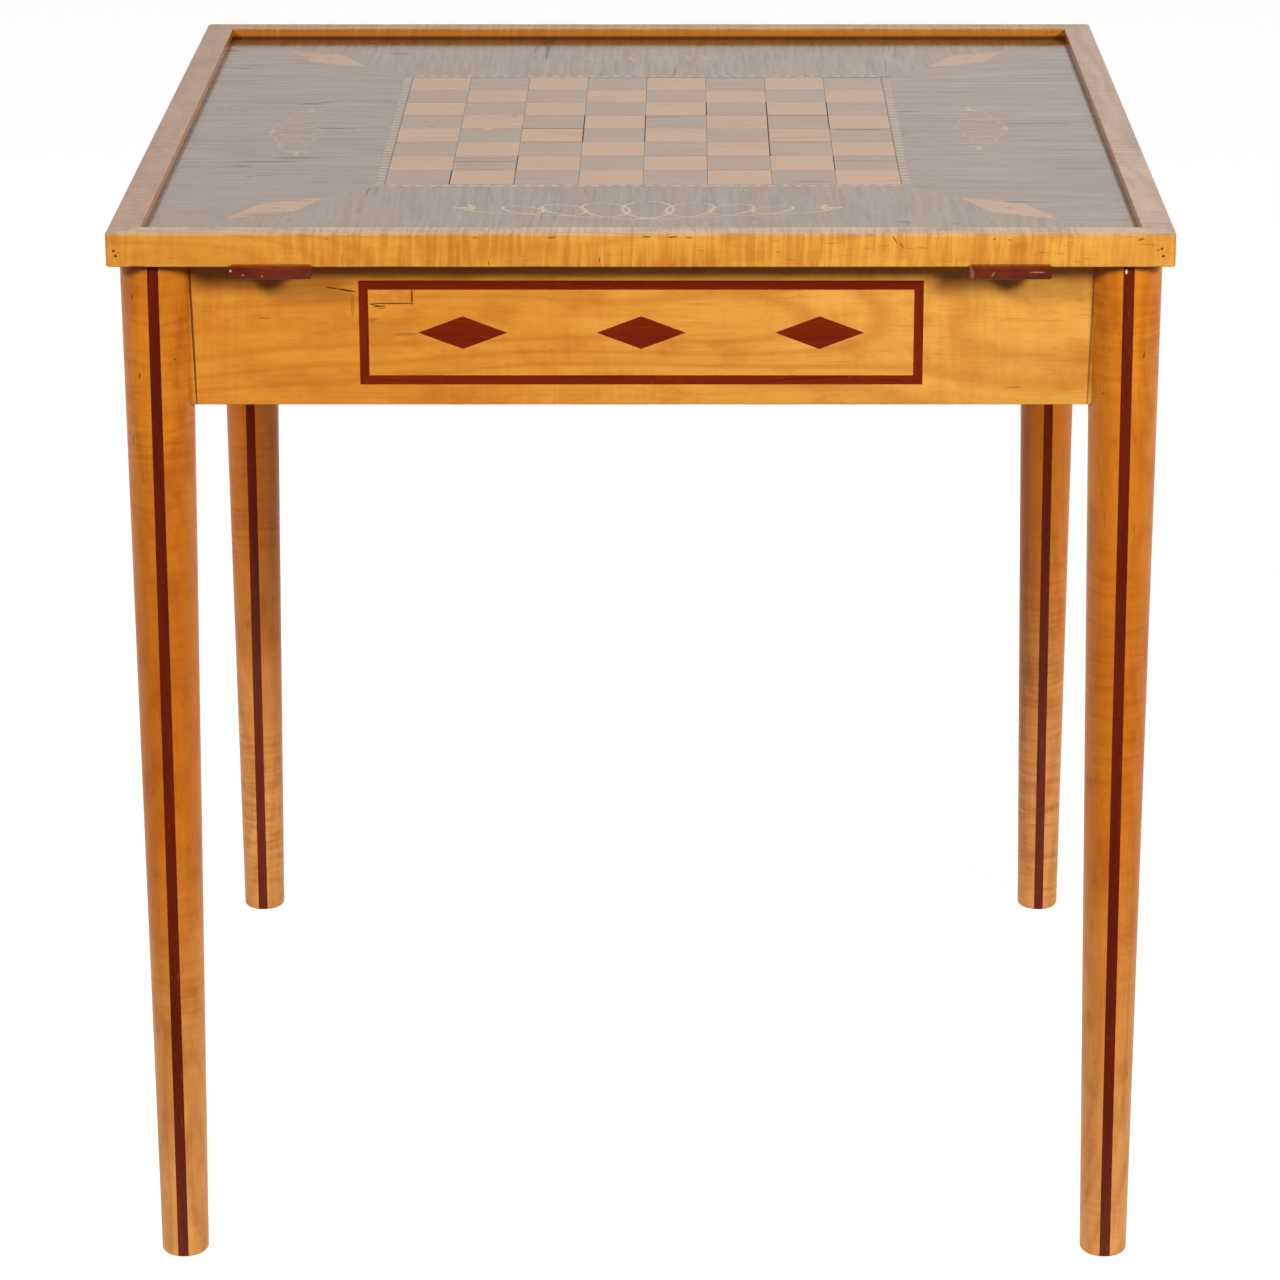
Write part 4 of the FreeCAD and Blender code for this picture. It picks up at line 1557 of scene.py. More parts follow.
@dataclass
class Legs(Part):
    """Four round tapered legs that lean out a little, with dark strings let in front and rear."""

    inset: float = 0.0299
    lean: float = 0.0049
    top_radius: float = 0.0241
    foot_radius: float = 0.0163
    foot_rounding: float = 0.0027
    string_half: float = 0.00365
    string_depth: float = 0.002
    string_gap: float = 0.00005
    arc_steps: int = 30
    string_steps: int = 8
    level_step: float = 0.012

    def levels(self, top: float) -> list[float]:
        """The heights of the leg's sections, close together round the foot.

        Args:
            top: The greatest height.

        Returns:
            The heights, from the floor up.
        """
        foot = [self.foot_rounding * (1 - math.cos(math.radians(a))) for a in range(0, 91, 15)]
        count = round((top - self.foot_rounding) / self.level_step)
        rest = [self.foot_rounding + (top - self.foot_rounding) * i / count for i in range(1, count + 1)]
        return foot + rest

    def radius(self, level: float) -> float:
        """The leg's radius at a height, less the rounding of the foot.

        Args:
            level: The height.

        Returns:
            The radius.
        """
        taper = (self.top_radius - self.foot_radius) * level / self.plan.underside
        below = max(self.foot_rounding - level, 0.0)
        rounding = self.foot_rounding - math.sqrt(max(self.foot_rounding**2 - below**2, 0.0))
        return self.foot_radius + taper - rounding

    def ring(
        self, outline: Sequence[tuple[float, float]], level: float, hand: int, end: int
    ) -> list[Point]:
        """An outline about the leg's middle, set where the leg stands at a height.

        Args:
            outline: Points in plan about the leg's middle.
            level: The height.
            hand: -1 for a left leg, 1 for a right one.
            end: -1 for a front leg, 1 for a rear one.

        Returns:
            The section at that height.
        """
        out = self.plan.half - self.inset + self.lean * (1 - level / self.plan.underside)
        return [(hand * out + x, end * out + y, level) for x, y in outline]

    def grooved(self, radius: float) -> list[tuple[float, float]]:
        """The outline of a leg with a groove at its front and one at its rear.

        Args:
            radius: The leg's radius there.

        Returns:
            Points in plan about the leg's middle.
        """
        half = math.degrees(math.asin(self.string_half / radius))
        floor = radius - self.string_depth
        outline = arc((0, 0), radius, -90 + half, 90 - half, self.arc_steps)
        outline += [(self.string_half, floor), (-self.string_half, floor)]
        outline += arc((0, 0), radius, 90 + half, 270 - half, self.arc_steps)
        return outline + [(-self.string_half, -floor), (self.string_half, -floor)]

    def string(self, radius: float, face: int) -> list[tuple[float, float]]:
        """The outline of a string.

        Args:
            radius: The leg's radius there.
            face: -1 for the string on the leg's front, 1 for the one on its rear.

        Returns:
            Points in plan about the leg's middle.
        """
        half_width = self.string_half - self.string_gap
        half = math.degrees(math.asin(half_width / radius))
        floor = radius - self.string_depth + self.string_gap
        outline = arc((0, 0), radius, 90 - half, 90 + half, self.string_steps)
        outline += [(-half_width, floor), (half_width, floor)]
        return [(x, face * y) for x, y in outline]

    def leg(self, name: str, hand: int, end: int) -> None:
        """Build a leg and its two strings.

        Args:
            name: The leg's name in the CAD, after the word leg.
            hand: -1 for a left leg, 1 for a right one.
            end: -1 for a front leg, 1 for a rear one.
        """
        heights = self.levels(self.plan.underside)
        rings = [self.ring(self.grooved(self.radius(z)), z, hand, end) for z in heights]
        leg = lofted(f"turned_leg_{name}", rings, self.finishes.leg)
        settle(leg, [f"leg_{name}"])
        for face, face_name in ((-1, "front"), (1, "rear")):
            top = self.plan.underside if face == end else self.plan.apron_bottom
            rings = [self.ring(self.string(self.radius(z), face), z, hand, end) for z in self.levels(top)]
            piece = lofted(f"string_{name}_{face_name}", rings, self.finishes.string)
            settle(piece, [f"leg_string_{name}_{face_name}"])

    def build(self) -> None:
        """Build the four legs with their strings."""
        for end, end_name in ((-1, "front"), (1, "rear")):
            for hand, hand_name in ((-1, "left"), (1, "right")):
                self.leg(f"{end_name}_{hand_name}", hand, end)


# ------------------------------------------------------------------ aprons, slides, fixings


@dataclass
class Aprons(Part):
    """The four aprons and the inlay of the front one, which stay as the CAD has them."""

    def build(self) -> None:
        """Dress the aprons and their inlays."""
        for side in Side:
            dress(self.finishes.aprons[side], f"apron_{side.label}")
        dress(self.finishes.band, "apron_band_top", "apron_band_bottom")
        dress(self.finishes.band_upright, "apron_band_left", "apron_band_right")
        dress(self.finishes.diamond, *(f"apron_diamond_{place}" for place in ("left", "middle", "right")))
        dress(self.finishes.patch, "repair_patch")


@dataclass
class Slides(Part):
    """The two pull-out slides: boards, pegs and runners stay, and the pull bars are rounded off."""

    rounding: float = 0.0019
    rounding_steps: int = 5

    def pull_bar(self, hand: str) -> None:
        """Build a bar of the CAD bar's size, with its edges worn round.

        Args:
            hand: "left" or "right".
        """
        corners = [vertex.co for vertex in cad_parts[f"pull_bar_{hand}"].data.vertices]
        low, high = (Vector([pick(c[i] for c in corners) for i in range(3)]) for pick in (min, max))
        mesh = bpy.data.meshes.new(f"worn_bar_{hand}")
        with reworked(mesh) as work:
            bmesh.ops.create_cube(work, size=1.0)
            bmesh.ops.transform(work, matrix=Matrix.Diagonal((*(high - low), 1.0)), verts=work.verts)
            bmesh.ops.translate(work, vec=(low + high) / 2, verts=work.verts)
            rounded(work, work.edges, self.rounding, self.rounding_steps)
        piece = shaded(mesh_object(f"worn_bar_{hand}", mesh, self.finishes.bar))
        settle(piece, [f"pull_bar_{hand}"], f"{hand}_slide")

    def build(self) -> None:
        """Build the bars and dress the rest."""
        for hand in ("left", "right"):
            self.pull_bar(hand)
            dress(self.finishes.slide, f"slide_board_{hand}")
            guides = (f"slide_guide_{hand}_{place}" for place in ("outer", "inner"))
            dress(self.finishes.softwood, f"stop_peg_{hand}", *guides)


@dataclass
class Fixings(Part):
    """Corner blocks, slotted screws and the filled heads of the brads."""

    head_radius: float = 0.004
    head_height: float = 0.0026
    slot_length: float = 0.02
    slot_width: float = 0.0009
    slot_depth: float = 0.0011
    shank_radius: float = 0.002
    brad_radius: float = 0.0009
    brad_depth: float = 0.0008
    brad_proud: float = 0.00003
    brad_places: tuple[tuple[float, float], ...] = (
        (-0.3443, 0.7320),
        (-0.3431, 0.7286),
        (0.3405, 0.7335),
        (0.3415, 0.7285),
    )

    def screws(self) -> None:
        """Drive slotted screws into the corner blocks, in place of the plain ones."""
        low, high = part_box("corner_screws")
        across = high.x - self.head_radius
        places = [(sx * across, sy * across, low.z) for sx in (-1, 1) for sy in (-1, 1)]
        sizes = {
            "Head radius": self.head_radius,
            "Head height": self.head_height,
            "Slot width": self.slot_width,
            "Slot depth": self.slot_depth,
            "Shank radius": self.shank_radius,
            "Length": high.z - low.z - self.head_height,
        }
        grower = Grower("drive_screws", sizes)
        slot_span = (self.slot_length, grower.size("Slot width"), grower.size("Slot depth") * 2.0)
        slot = grower.cube(grower.vector(*slot_span))
        under = grower.vector(z=grower.size("Head height") * -0.5)
        head = grower.cylinder(32, "Head radius", "Head height")
        cut = {"Mesh 1": head, "Mesh 2": grower.moved(slot, under)}
        slotted = grower.node("GeometryNodeMeshBoolean", cut, operation="DIFFERENCE")
        rise = grower.vector(z=(grower.size("Length") + grower.size("Head height")) * 0.5)
        shank = grower.moved(grower.cylinder(24, "Shank radius", "Length"), rise)
        driven = grower.on_points(grower.geometry, grower.joined(slotted, shank))
        points = point_cloud("screw_points", places)
        piece = grower.grow(driven, points, "slotted_screws", self.finishes.steel)
        piece.data.transform(Matrix.Translation((0.0, 0.0, self.head_height / 2)))
        settle(shaded(piece), ["corner_screws"])

    def brad_heads(self) -> None:
        """Set small dark stoppings over the brads, on the front and on the rear."""
        grower = Grower("stop_brads", {"Radius": self.brad_radius, "Depth": self.brad_depth})
        disc = grower.cylinder(20, "Radius", "Depth")
        upright = {"Geometry": disc, "Rotation": (math.radians(90), 0.0, 0.0)}
        facing = grower.node("GeometryNodeTransform", upright)
        laid = grower.on_points(grower.geometry, facing)
        face = self.plan.half - self.brad_depth / 2
        rows = (-face - self.brad_proud, face - self.brad_proud)
        places = [(x, y, z) for y in rows for x, z in self.brad_places]
        points = point_cloud("brad_points", places)
        piece = grower.grow(laid, points, "brad_stoppings", self.finishes.stopping)
        settle(shaded(piece))

    def build(self) -> None:
        """Build the screws and stoppings and dress the blocks."""
        self.screws()
        self.brad_heads()
        dress(self.finishes.steel, "mitre_brads")
        corners = (f"{end}_{hand}" for end in ("front", "rear") for hand in ("left", "right"))
        dress(self.finishes.softwood, *(f"corner_block_{corner}" for corner in corners))


# ------------------------------------------------------------------ the finishes in use


class Finishes:
    """Every material of the table, made once and shared by the pieces."""

    def __init__(self) -> None:
        """Make the materials."""
        self.make_rails()
        self.make_aprons()
        self.make_legs()
        self.make_red_woods()
        self.make_surrounds()
        self.make_squares()
        self.make_inlays()
        self.make_bare_woods()
        self.steel = Steel().material()

    @staticmethod
    def by_side(
        wood: Wood, shift: float, step: float, changes: dict[Side, dict[str, object]]
    ) -> dict[Side, bpy.types.Material]:
        """A wood's material for each side of the table, its grain along the rail or across a veneer.

        Args:
            wood: The wood.
            shift: Where its figure starts on the first side.
            step: How much further on it starts on each of the others.
            changes: What differs from the wood on each side.

        Returns:
            The material of each side.
        """
        made = {}
        for index, side in enumerate(Side):
            grain = Axis.X if side.runs_along_x != wood.lies_flat else Axis.Y
            own = {"name": f"{wood.name}_{side.label}", "grain": grain, "shift": shift + index * step}
            made[side] = replace(wood, **own, **changes[side]).material()
        return made

    def make_rails(self) -> None:
        """The wood of the tray's rails, whose upper faces are painted a tone of their own on each side:
        painted sheen and the weaker light on the tops.
        """
        maple = RailWood(
            "maple_rail",
            pale=(0.645, 0.280, 0.036),
            deep=(0.56, 0.215, 0.020),
            line=(0.46, 0.140, 0.012),
            # Paler towards +X: painted light from the stronger lamp on the right.
            right_pale=(0.72, 0.345, 0.053),
            right_deep=(0.63, 0.270, 0.036),
            gloss=0.4,
            rough=0.26,
            fibre_per_metre=650.0,
            curl=0.42,
            curl_patch=(0.30, 0.54),
            curls_per_metre=360.0,
            mottle=0.4,
            figure=0.3,
            flecks=0.35,
        )
        front_marks = marks_from(
            (326.8, 739.7, 2.6, 0.9, 15, 0.7), (338.0, 732.4, 1.0, 0.8, 0, 0.6),
            (-108.0, 740.7, 2.6, 0.5, 0, 0.6), (-58.0, 740.9, 3.2, 0.6, 8, 0.7),
            (4.0, 741.4, 3.0, 0.6, 0, 0.8), (21.0, 741.3, 4.0, 0.7, 4, 0.8),
            (32.0, 740.9, 2.4, 0.6, -8, 0.7), (-99.4, 723.9, 1.7, 0.4, 90, 0.8),
            (-27.0, 725.8, 2.4, 0.5, 84, 0.8), (89.7, 731.3, 1.3, 0.7, 0, 0.5),
            (166.0, 739.6, 3.0, 0.6, -60, 0.7), (170.5, 735.6, 2.6, 0.6, -55, 0.6),
            (231.0, 739.8, 1.2, 0.6, 0, 0.7), (241.0, 739.4, 1.0, 0.6, 0, 0.6),
            (-205.0, 740.0, 2.0, 0.5, 0, 0.5),
        )
        # The upper faces' tones are painted light: the reflected sheen and the weaker light on each top,
        # different on each side.
        tops = {
            Side.FRONT: ((0.58, 0.355, 0.165), (0.49, 0.290, 0.130), front_marks),
            Side.LEFT: ((0.42, 0.210, 0.118), (0.34, 0.152, 0.080), ()),
            Side.RIGHT: ((0.49, 0.300, 0.215), (0.41, 0.246, 0.170), ()),
            Side.REAR: ((0.52, 0.222, 0.045), (0.41, 0.158, 0.028), ()),
        }
        names = ("top_pale", "top_deep", "marks")
        changes = {side: dict(zip(names, values)) for side, values in tops.items()}
        self.rails = self.by_side(maple, 0.0, 1.7, changes)

    def make_aprons(self) -> None:
        """The wood of the aprons, with cracks, stains and painted shadow lines at the legs on the front one
        and its patch.
        """
        apron = RightLitWood(
            "maple_apron",
            gloss=0.4,
            pale=(0.65, 0.255, 0.029),
            deep=(0.57, 0.200, 0.018),
            line=(0.47, 0.135, 0.011),
            fibre_per_metre=600.0,
            fibre=0.5,
            curl=0.14,
            mottle=0.5,
            figure=0.42,
            flecks=0.15,
            rough=0.3,
            stain_and_shade=(0.10, 0.020, 0.005),
            marks=marks_from(
                (-204.0, 702.0, 5.0, 0.5, -6, 0.9), (-194.0, 700.3, 7.0, 0.7, -10, 1.0),
                (-151.2, 696.0, 7.0, 0.65, 90, 1.0), (-164.0, 691.4, 18.0, 0.55, 0, 0.9),
                (-173.0, 689.4, 5.0, 0.6, 6, 0.9), (-176.0, 690.4, 4.0, 0.5, -10, 0.9),
                (-171.0, 688.2, 3.5, 0.4, 12, 0.7), (-177.5, 680.3, 4.0, 1.6, 15, 0.3),
                (-156.0, 670.4, 10.0, 1.1, 3, 0.35), (-249.0, 681.4, 5.0, 0.8, 0, 0.35),
                # The upright marks at about ±297 mm are painted shadow lines where the legs meet the apron.
                (-190.5, 690.0, 9.0, 1.6, 90, 0.3), (-296.6, 671.0, 70.0, 0.9, 91.3, 0.85),
                (297.6, 671.0, 70.0, 0.9, 88.4, 0.6), (247.0, 634.0, 6.0, 1.0, 0, 0.3),
            ),
        )
        changes = {side: {} if side is Side.FRONT else {"marks": ()} for side in Side}
        self.aprons = self.by_side(apron, 20, 1.3, changes)
        patch = replace(apron, name="repair_patch_wood", shift=31.0, pale=(0.66, 0.285, 0.040))
        self.patch = patch.material()

    def make_legs(self) -> None:
        """The wood of the legs."""
        self.leg = LegWood(
            "maple_leg",
            pale=(0.615, 0.195, 0.012),
            deep=(0.50, 0.138, 0.007),
            line=(0.36, 0.076, 0.004),
            gloss=0.32,
            grain=Axis.Z,
            shift=40.0,
            fibre_per_metre=600.0,
            curl=0.35,
            mottle=0.5,
            figure=0.25,
            flecks=0.35,
            rough=0.27,
            marks=marks_from(
                (-334.7, 698.0, 2.2, 0.6, 88, 0.8), (-331.5, 645.0, 2.6, 0.7, 80, 0.8),
                (-308.0, 656.0, 1.2, 0.8, 0, 0.8), (-338.0, 600.0, 3.0, 0.6, 90, 0.7),
                (332.0, 659.0, 2.6, 0.7, 75, 0.8), (306.0, 632.0, 1.4, 0.7, 0, 0.6),
                (329.0, 540.0, 3.5, 0.5, 86, 0.6),
            ),
        ).material()

    def make_red_woods(self) -> None:
        """The red-brown wood of the strings, of the front apron's inlay and of the pull bars."""
        mahogany = Wood(
            "mahogany_string",
            pale=(0.135, 0.012, 0.002),
            deep=(0.085, 0.006, 0.001),
            line=(0.038, 0.003, 0.001),
            gloss=0.26,
            grain=Axis.Z,
            fibre=0.7,
            fibre_per_metre=700.0,
            rough=0.26,
            flecks=0.3,
            stain_and_shade=(0.03, 0.004, 0.002),
            # The pale mark at the top of the right legs' strings is a painted highlight.
            scuffs_and_highlights=marks_from((318.3, 716.6, 2.0, 1.0, 90, 0.9)),
        )
        self.string = mahogany.material()
        inlay_red = replace(
            mahogany,
            pale=(0.200, 0.018, 0.001),
            deep=(0.115, 0.008, 0.001),
            line=(0.055, 0.0035, 0.001),
            shift=5.0,
            scuffs_and_highlights=(),
        )
        lying = replace(inlay_red, grain=Axis.X)
        self.band = replace(lying, name="mahogany_band", shift=3.0).material()
        self.band_upright = replace(inlay_red, name="mahogany_band_upright").material()
        self.diamond = replace(lying, name="mahogany_diamond", shift=7.0).material()
        self.bar = replace(
            mahogany,
            name="mahogany_bar",
            grain=Axis.X,
            shift=9.0,
            pale=(0.20, 0.030, 0.010),
            deep=(0.10, 0.012, 0.005),
            rough=0.17,
            gloss=0.5,
            cloudy=0.5,
            mottle=0.5,
            gleam=(1.5, 1.9, 2.2),
            scuff=(0.62, 0.40, 0.24),
            # The bars' pale marks: painted highlights on their edges and ends, with worn chips.
            scuffs_and_highlights=marks_from(
                (-267.6, 720.6, 1.0, 0.9, 0, 1.0), (-259.4, 717.7, 0.9, 0.5, 0, 0.6),
                (-247.0, 717.0, 0.7, 0.5, 0, 0.6), (230.0, 718.3, 2.5, 0.4, 60, 0.4),
                (259.0, 719.7, 6.0, 0.5, 0, 0.4), (214.5, 719.5, 3.4, 6.0, 20, 0.2),
            ),
        ).material()

    def make_surrounds(self) -> None:
        """The dark veneer round the squares, and what is cut from the same wood."""
        dark = SurroundVeneer(
            "dark_surround",
            pale=(0.120, 0.052, 0.023),
            deep=(0.033, 0.014, 0.007),
            line=(0.012, 0.006, 0.004),
            fleck=(0.012, 0.006, 0.004),
            stain_and_shade=(0.020, 0.010, 0.006),
            rough=0.15,
            rough_spread=0.08,
            streak=0.75,
            fibre=0.75,
            fibre_per_metre=260.0,
            flecks=0.7,
        )
        marks = {
            Side.LEFT: marks_from(
                (-305.0, 76.0, 5.0, 2.0, 0, 0.9), (-286.0, 73.0, 3.5, 1.6, 0, 0.7),
                (-263.0, -151.0, 7.0, 2.2, 0, 0.8), (-273.0, -154.0, 4.0, 3.0, 0, 0.7),
                (-204.0, 125.0, 3.0, 3.0, 0, 0.4), (-292.0, 12.0, 14.0, 1.0, 0, 0.8),
                (-217.0, 190.5, 16.0, 1.4, -26, 0.8),
            ),
            Side.RIGHT: marks_from(
                (200.0, 102.5, 15.0, 1.0, -5, 0.7), (309.0, 100.5, 20.0, 1.1, 10, 0.8),
                (197.0, -59.5, 13.0, 1.2, -20, 0.8), (298.0, -70.5, 18.0, 1.1, 8, 0.8),
                (240.0, -65.0, 2.0, 2.0, 0, 0.8), (277.0, -210.5, 33.0, 1.0, -4, 0.6),
                (296.0, -238.5, 27.0, 1.0, -3, 0.6), (187.0, -135.0, 3.0, 2.0, 0, 0.6),
                (303.0, -132.0, 3.0, 2.0, 0, 0.6),
            ),
            Side.REAR: marks_from(
                (-241.0, 308.0, 6.0, 4.0, 0, 0.8), (-215.0, 296.0, 4.0, 4.0, 20, 0.7),
                (-192.0, 267.0, 12.0, 3.5, -12, 0.8),
            ),
            Side.FRONT: marks_from(
                (-235.0, -282.0, 3.0, 2.5, 0, 0.8), (175.0, -287.0, 7.0, 3.5, -30, 0.8),
                (208.0, -292.0, 3.0, 2.5, 0, 0.7), (75.0, -277.0, 2.0, 4.0, 0, 0.6),
                (-94.0, -288.0, 2.0, 4.0, 0, 0.6), (-102.0, -218.0, 19.0, 0.5, 96, 0.7),
            ),
        }
        changes = {side: {"marks": marks[side]} for side in Side}
        self.surrounds = self.by_side(dark, 50, 2.1, changes)
        self.lozenge_centre = replace(dark, name="lozenge_centres").material()
        self.border = replace(
            dark, name="border_strip", pale=(0.095, 0.045, 0.021), deep=(0.062, 0.028, 0.013)
        ).material()

    def make_squares(self) -> None:
        """The veneers of the chess squares."""
        self.dark_squares = SquareVeneer(
            "dark_squares",
            pale=(0.190, 0.086, 0.036),
            deep=(0.125, 0.056, 0.024),
            line=(0.060, 0.027, 0.012),
            fleck=(0.03, 0.015, 0.008),
            stain_and_shade=(0.020, 0.010, 0.006),
            rough=0.16,
            rough_spread=0.06,
            varnish_figure=1.0,
            flecks=0.5,
            marks=marks_from((-155.0, 7.0, 2.4, 2.4, 0, 0.8), (-97.0, 38.5, 3.0, 1.6, 0, 0.8)),
            scuffs_and_highlights=marks_from((-113.0, -2.0, 4.0, 3.0, 0, 0.35)),
        ).material()
        self.light_squares = SquareVeneer(
            "light_squares",
            pale=(0.42, 0.180, 0.038),
            deep=(0.31, 0.122, 0.024),
            line=(0.22, 0.085, 0.018),
            stain_and_shade=(0.05, 0.020, 0.008),
            rough=0.16,
            rough_spread=0.06,
            varnish_figure=1.2,
            cracks=0.3,
            marks=marks_from((-155.0, 5.0, 2.4, 2.0, 0, 0.8), (-96.0, 40.0, 3.4, 2.2, 0, 0.8)),
        ).material()

    def make_inlays(self) -> None:
        """The light wood of the lozenges, the flourishes and the rungs of the border."""
        inlay = Veneer(
            "light_lozenges",
            pale=(0.37, 0.160, 0.029),
            deep=(0.28, 0.110, 0.020),
            line=(0.18, 0.066, 0.013),
            rough=0.16,
            varnish_figure=0.6,
            cracks=0.3,
        )
        self.lozenge = inlay.material()
        self.ornament = replace(
            inlay, name="light_flourish", pale=(0.46, 0.28, 0.12), deep=(0.38, 0.21, 0.08)
        ).material()
        self.faint_ornament = replace(
            inlay, name="worn_flourish", pale=(0.30, 0.17, 0.075), deep=(0.22, 0.12, 0.05)
        ).material()
        self.rung = replace(
            inlay, name="border_rungs", pale=(0.36, 0.235, 0.115), deep=(0.29, 0.180, 0.085)
        ).material()

    def make_bare_woods(self) -> None:
        """The unvarnished wood inside, the glue and the stopping over the brads."""
        soft = Wood(
            "bare_softwood",
            pale=(0.50, 0.32, 0.16),
            deep=(0.40, 0.24, 0.11),
            line=(0.30, 0.16, 0.07),
            rough=0.55,
            shift=60.0,
        )
        self.softwood = soft.material()
        self.panel = replace(soft, name="bare_panel", shift=63.0).material()
        self.slide = replace(
            soft, name="slide_board_wood", grain=Axis.Y, rough=0.4, pale=(0.52, 0.30, 0.12)
        ).material()
        self.glue = replace(
            soft, name="glue_bed", pale=(0.17, 0.080, 0.040), deep=(0.12, 0.055, 0.028)
        ).material()
        self.stopping = replace(
            soft, name="dark_stopping", pale=(0.12, 0.05, 0.02), deep=(0.08, 0.03, 0.012)
        ).material()


@dataclass
class Marquetry(Part):
    """The dark surround, the lozenges on its mitres and what lies in them."""

    def build(self) -> None:
        """Dress the ground and the surround, then build the board, banding and ornament."""
        dress(self.finishes.panel, "top_panel")
        for side in Side:
            dress(self.finishes.surrounds[side], f"surround_{side.label}")
        dress(self.finishes.lozenge, "corner_lozenges")
        dress(self.finishes.lozenge_centre, "lozenge_centres")
        for part in (Board, Banding, Ornament):
            part(self.plan, self.finishes).build()


# ------------------------------------------------------------------ the studio


@dataclass(frozen=True)
class Softbox:
    """A large soft light: its bearing from the front and its height angle, its power and size."""

    name: str
    bearing: float
    elevation: float
    power: float
    width: float
    height: float
    distance: float

    @property
    def place(self) -> Vector:
        """Where the light hangs, seen from the point that it is aimed at.

        Returns:
            The way to it, in metres.
        """
        level, bearing = math.radians(self.elevation), math.radians(self.bearing)
        out = math.cos(level)
        way = (out * math.sin(bearing), -out * math.cos(bearing), math.sin(level))
        return Vector(way) * self.distance


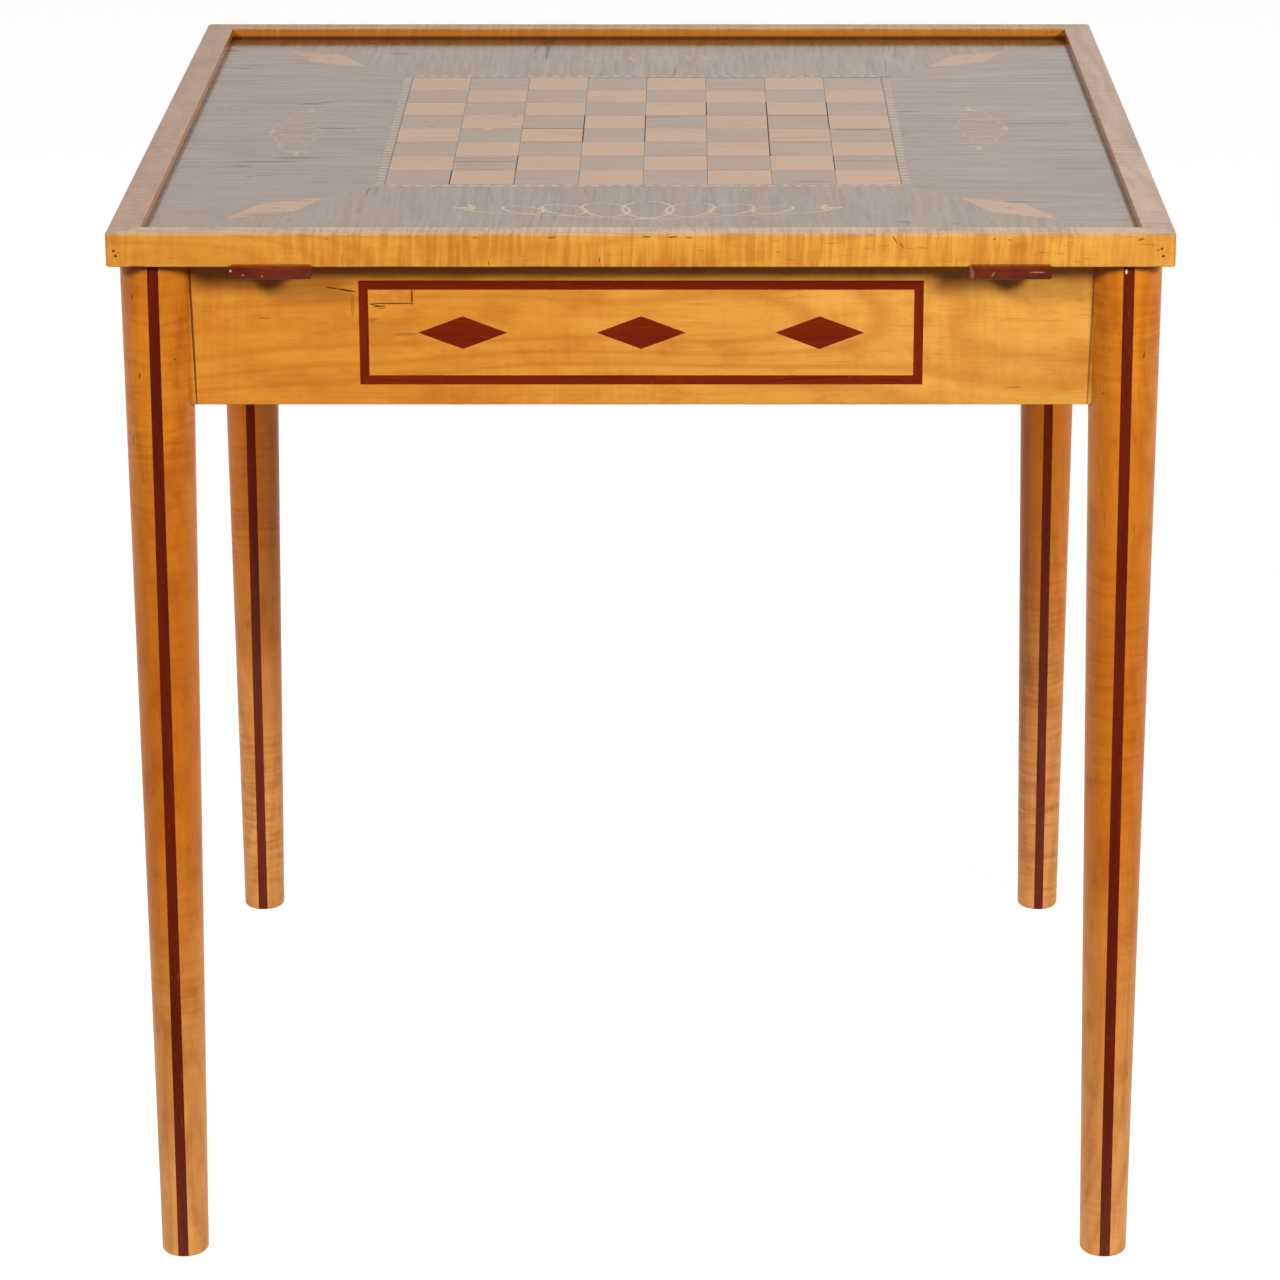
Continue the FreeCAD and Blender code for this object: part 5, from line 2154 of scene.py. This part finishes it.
@dataclass
class Studio:
    """White surroundings for the eye, dimmer ones for the table's lighting, softboxes, a camera."""

    floor_size: float = 40.0
    seen_floor_size: float = 110.0
    dome_radius: float = 60.0
    floor_glow: float = 0.9
    floor_matt: float = 0.3
    bounce_glow: float = 0.02
    bounce_behind: float = 0.74
    bounce_turn: tuple[float, float] = (-0.7, -0.34)
    bounce_colour: Colour = (1.0, 0.86, 0.70)
    bounce_matt: float = 0.09
    bounce_drop: float = 0.002
    backdrop: float = 1.05
    backdrop_colour: Colour = (1.0, 0.90, 0.80)
    backdrop_rise: float = 0.42
    rise_turn: tuple[float, float] = (0.195, 0.245)
    dim: float = 0.035
    backdrop_height: tuple[float, float] = (0.52, 0.34)
    backdrop_side: tuple[float, float] = (-0.1, 0.5)
    backdrop_turn: tuple[float, float] = (-0.35, 0.35)
    leftward_share: float = 0.75
    aim: Point = (0.0, -0.33, 0.67)
    softboxes: tuple[Softbox, ...] = (
        Softbox("softbox_left", -44.0, 30.5, 193.0, 1.5, 0.95, 5.0),
        Softbox("softbox_right", 44.0, 24.5, 163.0, 1.2, 0.76, 4.0),
    )
    camera_place: Point = (0.02995, -3.29369, 1.46530)
    camera_pitch: float = 71.207
    focal_pixels: float = 4628.8
    frame_pixels: float = 1280.0
    sensor: float = 36.0
    shift: float = -0.03633
    clip_end: float = 200.0

    def white(self, name: str, glow: float, matt: float, behind: float | None = None) -> bpy.types.Material:
        """A surface that gives off light and takes a little.

        Args:
            name: The material's name.
            glow: How strongly it gives off light.
            matt: How much of the light that falls on it comes back.
            behind: The glow behind the table, where it differs and the light is warm.

        Returns:
            The material.
        """
        paint = Paint(name)
        shine = {"Color": (1, 1, 1), "Strength": glow}
        if behind is not None:
            rear = paint.y.between(*self.bounce_turn) * (behind - glow) + glow
            shine = {"Color": self.bounce_colour, "Strength": rear}
        lit = paint.node("ShaderNodeEmission", shine)
        dull = paint.node("ShaderNodeBsdfDiffuse", {"Color": (matt, matt, matt)})
        both = paint.node("ShaderNodeAddShader", {0: lit, 1: dull})
        paint.add("ShaderNodeOutputMaterial", {"Surface": both})
        return paint.material

    def plate(self, level: float, size: float, material: bpy.types.Material) -> bpy.types.Object:
        """A large square of floor.

        Args:
            level: Its height.
            size: The length of its sides.
            material: What it is made of; the object has its name.

        Returns:
            The floor.
        """
        half = size / 2
        mesh = bpy.data.meshes.new(material.name)
        corners = ((-half, -half), (half, -half), (half, half), (-half, half))
        mesh.from_pydata([(x, y, level) for x, y in corners], [], [(0, 1, 2, 3)])
        return mesh_object(material.name, mesh, material)

    def floor(self) -> None:
        """The pale floor that is seen, the dimmer one that lights the table, and a pale dome."""
        white = self.white("floor", self.floor_glow, self.floor_matt)
        seen = self.plate(0.0, self.seen_floor_size, white)
        bounce = self.white("floor_bounce", self.bounce_glow, self.bounce_matt, self.bounce_behind)
        lit = self.plate(-self.bounce_drop, self.floor_size, bounce)
        mesh = bpy.data.meshes.new("dome")
        with reworked(mesh) as work:
            bmesh.ops.create_icosphere(work, subdivisions=3, radius=self.dome_radius)
        dome = mesh_object("dome", mesh, self.white("dome", 1.0, 0.0))
        for seen_only in (seen, dome):
            seen_only.visible_diffuse = False
            seen_only.visible_glossy = False
            seen_only.visible_shadow = False
        lit.visible_camera = False

    def sky(self) -> None:
        """Dim light all round and a bright backdrop behind the table, brighter to the right."""
        world = bpy.data.worlds.new("studio")
        bpy.context.scene.world = world
        world.use_nodes = True
        bench = Bench(world.node_tree)
        across, back, height = bench.parts(bench.node("ShaderNodeTexCoord", output="Generated"))
        panel = height.between(*self.backdrop_height) * back.between(*self.backdrop_side)
        share = across.between(*self.backdrop_turn) * (1 - self.leftward_share) + self.leftward_share
        rise = height.between(*self.rise_turn) * self.backdrop_rise + 1.0
        glow = panel * share * rise * (self.backdrop - self.dim) + self.dim
        light = bench.node("ShaderNodeBackground", {"Color": self.backdrop_colour, "Strength": glow})
        bench.add("ShaderNodeOutputWorld", {"Surface": light})

    def lights(self) -> None:
        """Hang the softboxes and turn them to the table."""
        for box in self.softboxes:
            light = bpy.data.lights.new(box.name, "AREA")
            light.shape = "RECTANGLE"
            light.size, light.size_y = box.width, box.height
            light.energy = box.power
            lamp = linked(box.name, light)
            lamp.location = Vector(self.aim) + box.place
            lamp.rotation_euler = (-box.place).to_track_quat("-Z", "Y").to_euler()
            lamp.visible_glossy = False

    def camera(self) -> None:
        """The camera, level from side to side and looking down on the table."""
        data = bpy.data.cameras.new("camera")
        data.sensor_width = self.sensor
        data.lens = self.focal_pixels / self.frame_pixels * self.sensor
        data.shift_x = self.shift
        data.clip_end = self.clip_end
        camera = linked("camera", data)
        camera.location = self.camera_place
        camera.rotation_euler = (math.radians(self.camera_pitch), 0.0, 0.0)
        bpy.context.scene.camera = camera

    def build(self) -> None:
        """Set the studio up."""
        self.floor()
        self.sky()
        self.lights()
        self.camera()
        bpy.context.scene.view_settings.view_transform = "Standard"


def main() -> None:
    """Build the table piece by piece and set up the studio."""
    logging.basicConfig(level=logging.INFO, format="%(message)s")
    plan = Plan.from_frame()
    finishes = Finishes()
    for part in (TrayFrame, Marquetry, Legs, Aprons, Slides, Fixings):
        LOG.info("building %s", part.__name__)
        part(plan, finishes).build()
    Studio().build()


if __name__ == "__main__":
    main()
